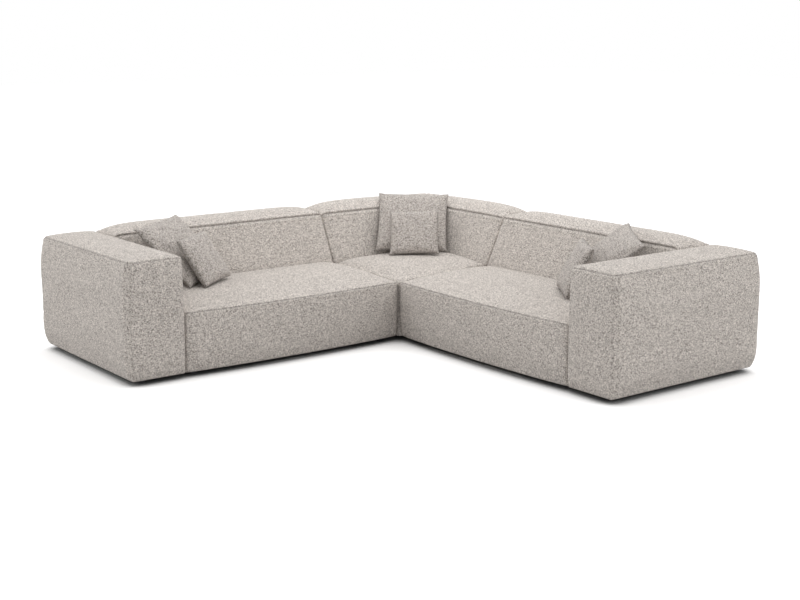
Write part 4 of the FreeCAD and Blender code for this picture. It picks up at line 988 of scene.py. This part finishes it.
# %% [markdown]
# Seats
#
# The top of each seat rises towards the back and has a long crown, so that it looks sat on rather
# than boxed. The front panel bows forward in plan. At the ends the cloth is drawn in, which opens
# the gaps between modules. One function makes the shape of every seat, and a line along the seat
# says where its front and its top are.

# %% The shape of a seat
BOW_SHAPE = 0.7


def wing_seat_line(x):
    """Front, heights at front and rear and crown of the wing's seat."""
    run = np.minimum(x - WING_X0, WING_X1 - x)
    share = (x - WING_X0) / (WING_X1 - WING_X0)
    bow = SEAT_BOW * np.maximum(4 * share * (1 - share), 0) ** BOW_SHAPE
    full = fullness(run)
    return (FRONT - bow + pull(run), SEAT_SEAM - pull(run), SEAT_SEAM + SEAT_RISE * full,
            SEAT_CROWN * full)


def seat_shape(line, x0, x1, puff, tuck):
    """The shape of a seat between two places along X, from its line."""
    def shape(share):
        across, along, up = share.T
        x = x0 + across * (x1 - x0)
        front, low, high, crown = line(x)
        flat_y = front + along * (SEAT_REAR - front)
        way = np.clip((flat_y - front - SEAT_ROUND) / (SEAT_REAR - front - SEAT_ROUND), 0, 1)
        top = low + (high - low) * way + 4 * crown * way * (1 - way)
        face = front - puff * puffed(up) + tuck * (1 - up)
        return np.stack([x, face + along * (SEAT_REAR - face), HEM + up * (top - HEM)], axis=1)
    return shape


seat_middle = wing_seat_line(np.array([(WING_X0 + WING_X1) / 2]))
print("front of the seat at Y =", seat_middle[0].round(3), "m")

# %% [markdown]
# Making the wings' seats
#
# The seam between the top and the front panel is the sharp line between the light top and the darker
# front, so it is sunk deeper and gets a darker painted shade than the others. Those at the ends are
# hidden in the gaps.

# %% Both wings' seats
SEAT_ROUNDS = [(Y0, Z1, 0.012), (X0, Z1, 0.018), (X1, Z1, 0.020), (X0, Y0, 0.024), (X1, Y0, 0.024),
               (Y1, Z1, 0.014), (Y0, Z0, 0.022), (X0, Z0, 0.006), (X1, Z0, 0.006)]
SEAT_SEAMS = [sewn_edge(Y0, Z1, 0.0042, 0.95), sewn_edge(X0, Z1, 0.002, 0.3),
              sewn_edge(X1, Z1, 0.002, 0.3)]
SEAT_SIZE = (WING_X1 - WING_X0, SEAT_REAR - FRONT, SEAT_SEAM - HEM)
left_seat = cover("left_seat_upholstery", SEAT_SIZE,
                  seat_shape(wing_seat_line, WING_X0, WING_X1, SEAT_PUFF, TUCK), SEAT_ROUNDS,
                  SEAT_SEAMS, [X0, X1, Y1], 21.0,
                  [opening(PAD_Y[0], FRONT, 0, *PAD_OPENING),
                   opening(PAD_Y[0], FRONT, -1, *HOOK_OPENING)])
dress_both(left_seat, "seat", 0.9)
print("wing seat net", len(left_seat.data.polygons), "faces")

# %% [markdown]
# The corner's seat
#
# The corner module has a square seat that is open on two sides, towards both wings. It lies a little
# higher at the back than at its free corner, so its crown falls away towards the wings.

# %% The seat of the corner module
SEAM_RISE, TOP_RISE, REAR_RISE, CROWN_LOSS = 0.034, 0.031, 0.014, 0.35


def corner_seat_line(x):
    """The same of the corner seat, which rises away from both of its open sides."""
    way = (x - CORNER_X0) / (SEAT_REAR - CORNER_X0)
    full = fullness(x - CORNER_X0)
    low = SEAT_SEAM + SEAM_RISE * way - pull(x - CORNER_X0)
    high = SEAT_SEAM + TOP_RISE * full + REAR_RISE * way
    return np.full_like(x, CORNER_X0), low, high, SEAT_CROWN * full * (1 - CROWN_LOSS * way)


CORNER_SEAT_SIZE = (SEAT_REAR - CORNER_X0, SEAT_REAR - CORNER_X0, SEAT_SEAM - HEM)
CORNER_SEAT_ROUNDS = [(Y0, Z1, 0.022), (X0, Z1, 0.022), (X1, Z1, 0.014), (Y1, Z1, 0.014),
                      (X0, Y0, 0.024)]
CORNER_SEAT_SEAMS = [sewn_edge(Y0, Z1, 0.002, 0.3), sewn_edge(X0, Z1, 0.002, 0.3)]
corner_shape = seat_shape(corner_seat_line, CORNER_X0, SEAT_REAR, 0.0, 0.0)
hook_opening = opening(PAD_Y[0], FRONT, 0, *HOOK_OPENING)
corner_seat = cover("corner_seat_upholstery", CORNER_SEAT_SIZE, corner_shape, CORNER_SEAT_ROUNDS,
                    CORNER_SEAT_SEAMS, [X0, Y0, X1, Y1], 31.0,
                    [hook_opening, (1,) + hook_opening[1:]])
thicken(corner_seat)
dress(corner_seat, "corner_module", "upholstery_boucle", 0.9, "corner_seat_cover",
      "corner_seat_foam")
print("corner seat net", len(corner_seat.data.polygons), "faces")

# %% [markdown]
# Backs
#
# A back is upright behind the seat, leans back above it and ends in a full, crowned top. Its top roll
# hangs over the leaning front a little. The front is drawn a few millimetres too far back, because
# the filling will swell it by as much again. One function gives the profile of all four backs.

# %% Profile of a back
SLOPE = (BACK_TOP_FRONT - SEAT_BACK) / (BACK_TOP - BEND)
ROLL, ROLL_WIDTH, ROLL_SEAM, ROLL_LIFT = 0.006, 0.010, 0.009, 0.016
ROLL_FALL, SET_BACK = 3, 0.004


def back_points(x, along, up, full, drawn):
    """Points of a back at places along X, from front to rear and from hem to top."""
    z = HEM + up * (BACK_TOP + ROLL_LIFT - HEM)
    front = BACK_FRONT + SET_BACK + SLOPE * np.maximum(z - BEND, 0) + drawn
    under_edge = (1 - up) * (BACK_TOP - HEM)
    front -= ROLL * np.exp(-(under_edge / ROLL_WIDTH) ** 2)
    rear = HALF - drawn - TUCK * (1 - up) + (PUFF + TUCK / 2) * puffed(up)
    top = BACK_TOP - drawn + BACK_CROWN * full * 4 * along * (1 - along)
    top += ROLL_LIFT * (1 - along) ** ROLL_FALL
    return np.stack([x, front + along * (rear - front), HEM + up * (top - HEM)], axis=1)


print(f"backs lean {math.degrees(math.atan(SLOPE)):.1f} degrees")

# %% [markdown]
# The wings' backs
#
# The seam between the leaning front and the top is the deepest of the sofa, because it lies under
# the roll. The wing's back has bolted pads towards the arm and brackets towards the corner, and each
# passes through an opening.

# %% Both wings' backs
WING_FULLNESS = 0.80


def wing_back_shape(share):
    across, along, up = share.T
    x = WING_X0 + across * (WING_X1 - WING_X0)
    run = np.minimum(x - WING_X0, WING_X1 - x)
    return back_points(x, along, up, WING_FULLNESS * fullness(run), pull(run))


BACK_SIZE = (WING_X1 - WING_X0, HALF - BACK_FRONT, BACK_TOP - HEM)
BACK_ROUNDS = [(Y0, Z1, 0.010), (Y1, Z1, 0.024), (X0, Z1, 0.018), (X1, Z1, 0.022), (X1, Y0, 0.020),
               (X1, Y1, 0.020), (X0, Y1, 0.018), (X0, Y0, 0.012), (Y1, Z0, 0.022)]
BACK_SEAMS = [sewn_line(Y0, Z1, ROLL_SEAM, 0.006, 0.65), sewn_edge(Y1, Z1)]
left_back = cover("left_back_upholstery", BACK_SIZE, wing_back_shape, BACK_ROUNDS, BACK_SEAMS,
                  [X0, X1], 41.0,
                  [opening(PAD_Y[1], BACK_FRONT, 0, *PAD_OPENING),
                   opening(PAD_Y[1], BACK_FRONT, -1, *HOOK_OPENING)])
dress_both(left_back, "back", 0.85)
print("wing back net", len(left_back.data.polygons), "faces")

# %% [markdown]
# The corner's backs
#
# The two backs of the corner are one upholstered L. Its top is sewn along a mitre, where the crown
# is a little lower, because there the wadding is pulled in by the seam from both sides. The outer
# edge of the L is turned softly. Each back is bent so far that it ends at the mitre.

# %% The shape of a corner back
CROWN_FALL = 0.33


def corner_back_shape(share):
    across, along, up = share.T
    zero = np.zeros_like(across)
    rough = back_points(zero, along, up, 1.0, 0.0)
    x = CORNER_X0 + across * (rough[:, 1] - PANEL_GAP / 2 - CORNER_X0)
    to_corner = (x - CORNER_X0) / (HALF - CORNER_X0)
    full = fullness(x - CORNER_X0) * (1 - CROWN_FALL * np.maximum(to_corner, 0) ** 2)
    points = back_points(x, along, up, full, pull(x - CORNER_X0))
    points[:, 0] = CORNER_X0 + across * (points[:, 1] - PANEL_GAP / 2 - CORNER_X0)
    rear = HALF - TUCK * (1 - up) + (PUFF + TUCK / 2) * puffed(up)
    into = points[:, :2] - (rear - CORNER_ROUND)[:, None]
    near = (into > 0).all(axis=1)
    shrink = into[near].max(axis=1) / np.linalg.norm(into[near], axis=1)
    points[near, :2] += into[near] * (shrink - 1)[:, None]
    return points


print("mitre from", round(BACK_FRONT, 3), "to", HALF, "m")

# %% [markdown]
# Making the corner's backs
#
# The left back is made first and then mirrored, like the wings. Its net is laid over a box of 1 m,
# and the shape bends it to its real length. Its opening for the brackets is a little wider than
# those of the wings, so that the hooks of a wing come out without catching the cloth.

# %% The two backs of the corner module
CORNER_HOOK_OPENING = (0.046, 0.055, 0.197)
CORNER_BACK_SIZE = (1.0, HALF - BACK_FRONT, BACK_TOP - HEM)
CORNER_BACK_ROUNDS = [(Y0, Z1, 0.010), (Y1, Z1, 0.024), (X0, Z1, 0.022), (X0, Y0, 0.020),
                      (X0, Y1, 0.020), (Y1, Z0, 0.022), (X1, Z1, 0.006)]
CORNER_BACK_SEAMS = [sewn_line(Y0, Z1, ROLL_SEAM, 0.006, 0.65), sewn_edge(Y1, Z1)]
corner_left = cover("corner_back_upholstery_left", CORNER_BACK_SIZE, corner_back_shape,
                    CORNER_BACK_ROUNDS, CORNER_BACK_SEAMS, [X0, X1], 51.0,
                    [opening(PAD_Y[1], BACK_FRONT, 0, *CORNER_HOOK_OPENING)])
corner_right = mirrored(corner_left, "corner_back_upholstery_right")
for side, piece in (("left", corner_left), ("right", corner_right)):
    thicken(piece)
    dress(piece, "corner_module", "upholstery_boucle", 0.85, f"corner_back_cover_{side}")
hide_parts("corner_back_foam")
print("corner back net", len(corner_left.data.polygons), "faces")

# %% [markdown]
# Loose cushions
#
# A loose cushion is two square pieces of cloth sewn together along the rim and stuffed. The filling
# draws the sides in and leaves four pointed corners. We start from that form, with sides that curve
# in and a face that is fullest in the middle. The simulation then fills it, with a little more cloth
# than the form needs, which gives the waves along the rim.

# %% The form of a cushion
FRONT_FULLNESS, REAR_FULLNESS, RIM_PACKING = 0.36, 0.50, 0.8


def pillow(side, thickness, draw, cells):
    """Two cloths joined along the rim: points, faces and each point's distance from the rim."""
    turns = np.linspace(-1, 1, cells + 1) * math.pi / 2 * RIM_PACKING
    steps = np.sin(turns) / math.sin(math.pi / 2 * RIM_PACKING)
    a, b = [grid.ravel() for grid in np.meshgrid(steps, steps, indexing="ij")]
    rim = (np.abs(a) == 1) | (np.abs(b) == 1)
    flat = np.stack([a * (side / 2 - draw * (1 - b ** 2)), b * (side / 2 - draw * (1 - a ** 2))],
                    axis=1)
    from_sides = (1 - a ** 2) * (1 - b ** 2)
    index = np.arange(a.size).reshape(cells + 1, cells + 1)
    behind = index.ravel().copy()
    behind[~rim] = a.size + np.arange((~rim).sum())
    behind = behind.reshape(index.shape)
    front = np.column_stack([flat, thickness / 2 * from_sides ** FRONT_FULLNESS])
    rear = np.column_stack([flat, -thickness / 2 * from_sides ** REAR_FULLNESS])
    points = np.concatenate([front, rear[~rim]])
    faces = []
    for net, flip in ((index, False), (behind, True)):
        quads = np.stack([net[:-1, :-1], net[1:, :-1], net[1:, 1:], net[:-1, 1:]], axis=-1)
        quads = quads.reshape(-1, 4)
        faces.append(quads[:, ::-1] if flip else quads)
    from_rim = np.minimum(1 - np.abs(a), 1 - np.abs(b)) * side / 2
    return points, np.concatenate(faces), np.concatenate([from_rim, from_rim[~rim]])


print("cushion net", len(pillow(0.45, 0.15, 0.01, 20)[1]), "faces at 20 cells")

# %% [markdown]
# Where a cushion lies
#
# The pose of a cushion could be typed in, but the CAD cushion already has it. Its four corners are
# the points farthest from its middle. From them we get the middle, three axes, the side between two
# neighbouring corners and the thickness, and the soft cushion is laid into the same place.

# %% Read the pose of a CAD cushion
def corner_frame(node):
    """The place, axes, side and thickness of a CAD cushion, from its four corners."""
    points = points_of(frame["nodes"][node].data)
    middle = (points.max(axis=0) + points.min(axis=0)) / 2
    for _ in range(3):
        first = points[np.linalg.norm(points - middle, axis=1).argmax()]
        opposite = points[np.linalg.norm(points - first, axis=1).argmax()]
        middle = (first + opposite) / 2
    diagonal = (opposite - first) / np.linalg.norm(opposite - first)
    away = points - middle
    aside = away - np.outer(away @ diagonal, diagonal)
    second = points[np.linalg.norm(aside, axis=1).argmax()]
    across = (second - middle) / np.linalg.norm(second - middle)
    out = np.cross(diagonal, across)
    out /= np.linalg.norm(out)
    if out[0] + out[1] > 0:
        out = -out
    x_axis = (across - diagonal) / np.linalg.norm(across - diagonal)
    axes = np.stack([x_axis, np.cross(out, x_axis), out], axis=1)
    return middle, axes, np.linalg.norm(second - first), np.ptp(away @ out)


print("large cushion side", round(corner_frame("left_large_cushion_cover")[2], 3), "m")

# %% [markdown]
# Creases
#
# Along the rim of a cushion the two cloths are sewn together, which draws short creases into the
# face. Farther in, the filling leaves long, low waves. Both are smooth noise with a size of its own.
# The creases are stretched across the thickness, because the thread pulls them that way.

# %% Creases of a cushion
CREASE, CREASE_WAVE, CREASE_REACH, CREASE_STRETCH = 0.0025, 0.035, 0.03, 0.3
FACE_WAVE, FACE_WAVELENGTH, NEXT_SEED = 0.0015, 0.11, 5


def creased(points, from_rim, seed):
    """How far each point of a cushion's face rises."""
    squeezed = points * np.array([1, 1, CREASE_STRETCH])
    creases = soft_noise(squeezed, CREASE_WAVE, seed) * np.exp(-from_rim / CREASE_REACH)
    return CREASE * creases + FACE_WAVE * soft_noise(points, FACE_WAVELENGTH, seed + NEXT_SEED)


print("creases of", CREASE * 1000, "mm and waves of", FACE_WAVE * 1000, "mm")

# %% [markdown]
# Stuffing a cushion
#
# The CAD cushion gives the pose and the size, and the simulated one takes its place. The small
# cushions at the arms are worn, so their corners are blunt, while the large ones and those in the
# corner keep their points. Last, the cloth near the rim gets a painted shade, like a seam.

# %% Stuff a cushion
CUSHION_DRAW = {"large": 0.007, "small": 0.004}
CUSHION_CELLS = {"large": 44, "small": 34}
CUSHION_CAP = {"large": 0.014, "small": 0.010}
CORNER_TUCK, TUCK_POWER = {"large": 0.005, "small": 0.05}, 4
CUSHION_FRAMES, CUSHION_PRESSURE, CUSHION_SPARE = 18, 5.0, 0.03
CUSHION_STIFFNESS, CUSHION_BEND = 15.0, 0.5
RIM_SHADE, RIM_SHADE_WIDTH = 0.70, 0.007


def cushion(place, kind, seed):
    """One stuffed cushion in the pose of its CAD cushion."""
    name = f"{place}_{kind}_cushion"
    middle, axes, side, thickness = corner_frame(f"{name}_cover")
    points, faces, from_rim = pillow(side, thickness, CUSHION_DRAW[kind], CUSHION_CELLS[kind])
    piece = new_piece(f"{name}_boucle", points, faces)
    filled(piece, np.ones(len(points)), CUSHION_FRAMES, CUSHION_PRESSURE, CUSHION_CAP[kind],
           CUSHION_SPARE, CUSHION_STIFFNESS, CUSHION_BEND)
    points = points_of(piece.data)
    points -= (points.max(axis=0) + points.min(axis=0)) / 2
    points *= np.array([side / 2, side / 2, thickness / 2]) / points.max(axis=0)
    toward_corner = np.prod(np.abs(points[:, :2]) / (side / 2), axis=1) ** TUCK_POWER
    tuck = 0.0 if place == "corner" else CORNER_TUCK[kind]
    points[:, :2] *= (1 - tuck * toward_corner)[:, None]
    points[:, 2] += creased(points, from_rim, seed)
    # painted shade near the rim, stored in the seam mask
    layer = piece.data.attributes.new("seam", "FLOAT", "POINT")
    shade = RIM_SHADE * np.exp(-(from_rim / RIM_SHADE_WIDTH) ** 2)
    layer.data.foreach_set("value", shade.astype(np.float32))
    set_points(piece.data, points @ axes.T + middle)
    finer = piece.modifiers.new("finer", "SUBSURF")
    finer.levels = finer.render_levels = 1
    dress(piece, name, "cushion_boucle", 0.6, f"{name}_cover", f"{name}_filling")
    return piece


print("frames of filling", CUSHION_FRAMES)

# %% [markdown]
# Six cushions
#
# There is a large and a small cushion at each place. Each has a seed of its own for the noise, so
# that no two are creased alike.

# %% The six cushions
FIRST_SEED, SEED_STEP = {"large": 60.0, "small": 80.0}, 7
cushions = [cushion(place_name, kind, FIRST_SEED[kind] + SEED_STEP * number)
            for number, place_name in enumerate(("left", "corner", "right"))
            for kind in ("large", "small")]
print("cushions", [piece.name for piece in cushions])

# %% [markdown]
# Dust cloths
#
# The underside of each module is closed with a thin black cloth that is tacked to the timber frame
# and cut out round every foot. It hangs a few millimetres between the rails. It is a flat net, and
# the faces under each foot are taken out, while the points near them move onto the foot's circle.

# %% The net of a dust cloth
WING_FEET = [(-1.3096, 0.4004), (-1.3096, 1.3096), (-1.0076, 0.4014), (-1.0076, 1.3146),
             (0.2391, 0.4014), (0.2391, 1.3146)]
CORNER_FEET = [(0.3969, 0.3969), (1.3146, 0.3969), (0.3969, 1.3146), (1.3146, 1.3146),
               (0.925, 0.925)]
DUST_Z, DUST_SAG, DUST_STEP, FOOT_HOLE = 0.0275, 0.004, 0.020, 0.0275
TACKED_EDGE, SAG_REACH, NO_REACH = 0.04, 0.12, 1e-6


def dust_cloth(name, x0, x1, y0, y1, feet):
    """A black cloth under a module, between two places along X and two along Y."""
    counts = [round((x1 - x0) / DUST_STEP), round((y1 - y0) / DUST_STEP)]
    xs, ys = np.linspace(x0, x1, counts[0] + 1), np.linspace(y0, y1, counts[1] + 1)
    x, y = np.meshgrid(xs, ys, indexing="ij")
    index = np.arange(x.size).reshape(x.shape)
    quads = np.stack([index[:-1, :-1], index[:-1, 1:], index[1:, 1:], index[1:, :-1]],
                     axis=-1).reshape(-1, 4)
    flat = np.stack([x.ravel(), y.ravel()], axis=1)
    from_hold = np.minimum.reduce([x - x0, x1 - x, y - y0, y1 - y]).ravel()
    for foot in feet:
        away = flat - np.array(foot)
        reach = np.maximum(np.linalg.norm(away, axis=1), NO_REACH)
        inside = np.linalg.norm(flat[quads].mean(axis=1) - np.array(foot), axis=1) < FOOT_HOLE
        quads = quads[~inside]
        near = reach < FOOT_HOLE
        flat[near] = np.array(foot) + away[near] * (FOOT_HOLE / reach[near])[:, None]
        from_hold = np.minimum(from_hold, reach - FOOT_HOLE)
    hang = DUST_SAG * (1 - np.exp(-np.clip(from_hold - TACKED_EDGE, 0, 1) / SAG_REACH))
    used = np.unique(quads)
    place = np.full(len(flat), -1)
    place[used] = np.arange(len(used))
    points = np.column_stack([flat, DUST_Z - hang])[used]
    cloth = new_piece(name, points, place[quads])
    cloth.data.materials.append(finishes["dust_cloth"])
    return cloth


print("feet", len(WING_FEET), "under a wing,", len(CORNER_FEET), "under the corner")

# %% [markdown]
# Tacking the cloths
#
# Each cloth moves with its module and rests on the seat frame. Its flat size is that of the frame's
# outer edges, where the tacks are, because the cloth is cut to fit before it is stretched.

# %% The three dust cloths
def tack(cloth, body, node, carrier, x0, x1, y0, y1):
    """Ties a dust cloth to its module."""
    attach(cloth, body)
    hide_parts(node)


WING_CLOTH = (-1.3676, 0.3041, 0.3424, 1.3796)
CORNER_CLOTH = (0.3319, 1.3796, 0.3319, 1.3796)
left_dust = dust_cloth("left_dust_cloth", *WING_CLOTH, WING_FEET)
right_dust = mirrored(left_dust, "right_dust_cloth")
corner_dust = dust_cloth("corner_dust_cloth", *CORNER_CLOTH, CORNER_FEET)
tack(left_dust, "left_module", "left_dust_cover", "left_seat_frame", *WING_CLOTH)
tack(right_dust, "right_module", "right_dust_cover", "right_seat_frame", *WING_CLOTH)
tack(corner_dust, "corner_module", "corner_dust_cover", "corner_seat_frame", *CORNER_CLOTH)
print("dust cloth net", len(left_dust.data.polygons), "faces")

# %% [markdown]
# Floor
#
# The photograph has a pure white ground with a soft, tight shadow close to the sofa. A pale floor
# gives just that where the sofa hides the sky. For the camera alone its colour is brighter, which
# makes it plain white without more light on the sofa, and painted darker where something is very near
# above it, a painted contact shadow, because the gap under the sofa is only 25 mm high and hardly any
# light gets in.

# %% Floor
FAR = 30.0
floor_corners = np.array([(-FAR, -FAR, 0), (FAR, -FAR, 0), (FAR, FAR, 0), (-FAR, FAR, 0)])
ground = new_piece("floor", floor_corners, np.array([(0, 1, 2, 3)]))


def seen_directly(tree):
    """1 for camera, mirror and glass rays, and 0 for light on its way to something else."""
    rays = tree.nodes.new("ShaderNodeLightPath").outputs
    seen = maths(tree, "ADD", rays["Is Camera Ray"], rays["Is Glossy Ray"])
    return maths(tree, "ADD", seen, rays["Is Transmission Ray"], clamp=True)


print("floor", ground.name)

# %% [markdown]
# The floor's white and its painted shadow
#
# Ambient occlusion tells how much of the space above a point is free. Where the free share is small
# the floor's colour is painted dark to the camera, a painted shadow, and elsewhere it is so bright
# that the picture shows pure white.

# %% The floor's white and its painted shadow
NEAR_ABOVE, COVERED, OPEN = 0.09, 0.12, 0.72
SHADOW, WHITE = (0.13, 0.13, 0.13, 1), (1.20, 1.20, 1.20, 1)
FLOOR_GREY = (0.55, 0.55, 0.55, 1)
paper = bpy.data.materials.new("paper_floor")
paper.use_nodes = True
paper.node_tree.nodes.clear()
covered = add(paper.node_tree, "ShaderNodeAmbientOcclusion", {"Distance": NEAR_ABOVE}, samples=8)
# painted shadow: the floor's camera colour goes dark where something is near above it
bright = mixed(paper.node_tree, spread(paper.node_tree, covered.outputs["AO"], COVERED, OPEN),
               SHADOW, WHITE)
floor_color = mixed(paper.node_tree, seen_directly(paper.node_tree), FLOOR_GREY, bright)
matt = add(paper.node_tree, "ShaderNodeBsdfDiffuse", {"Color": floor_color})
add(paper.node_tree, "ShaderNodeOutputMaterial", {"Surface": matt.outputs[0]})
ground.data.materials.append(paper)
print("floor material has", len(paper.node_tree.nodes), "nodes")

# %% [markdown]
# The dome
#
# A white dome lights the sofa from everywhere, like the light tent of a photo studio. To the camera
# it is pure white, and its light on the sofa is a little weaker, to leave room for the lamps.

# %% World
DOME_LIGHT, DOME_SEEN = 0.955, 1.0
sky = bpy.data.worlds.new("studio")
bpy.context.scene.world = sky
sky.use_nodes = True
sky.node_tree.nodes.clear()
strength = spread(sky.node_tree, seen_directly(sky.node_tree), 0.0, 1.0, DOME_LIGHT, DOME_SEEN)
dome = add(sky.node_tree, "ShaderNodeBackground", {"Color": (1, 1, 1, 1), "Strength": strength})
add(sky.node_tree, "ShaderNodeOutputWorld", {"Surface": dome.outputs[0]})
print("dome", sky.name)

# %% [markdown]
# Lamps
#
# Under a dome alone the sofa would look flat. Three soft lamps shape it: one hangs over the corner
# and lights the tops, and two weak ones stand at the sides, so that the outer faces of the arms are a
# little lighter than the faces inside the L. Their size keeps the shadows soft.

# %% Three soft lamps
def softbox(name, place, aim, width, watts):
    """A square lamp at a place that shines at another. Its width is in metres."""
    lamp = bpy.data.lights.new(name, "AREA")
    lamp.shape = "SQUARE"
    lamp.size = width
    lamp.energy = watts
    holder = bpy.data.objects.new(name, lamp)
    bpy.context.scene.collection.objects.link(holder)
    holder.location = place
    way = Vector(aim) - Vector(place)
    holder.rotation_euler = way.to_track_quat("-Z", "Y").to_euler()
    return holder


lamps = [softbox("overhead", place=(1.3, 1.3, 3.7), aim=(0.8, 0.8, 0), width=4.2, watts=76.0),
         softbox("left_side", place=(-6.0, 2.5, 2.5), aim=(-1.0, 0.5, 0.4), width=3.0, watts=60.0),
         softbox("right_side", place=(2.5, -6.0, 2.5), aim=(0.5, -1.0, 0.4), width=3.0, watts=60.0)]
print("lamps", [lamp.name for lamp in lamps])
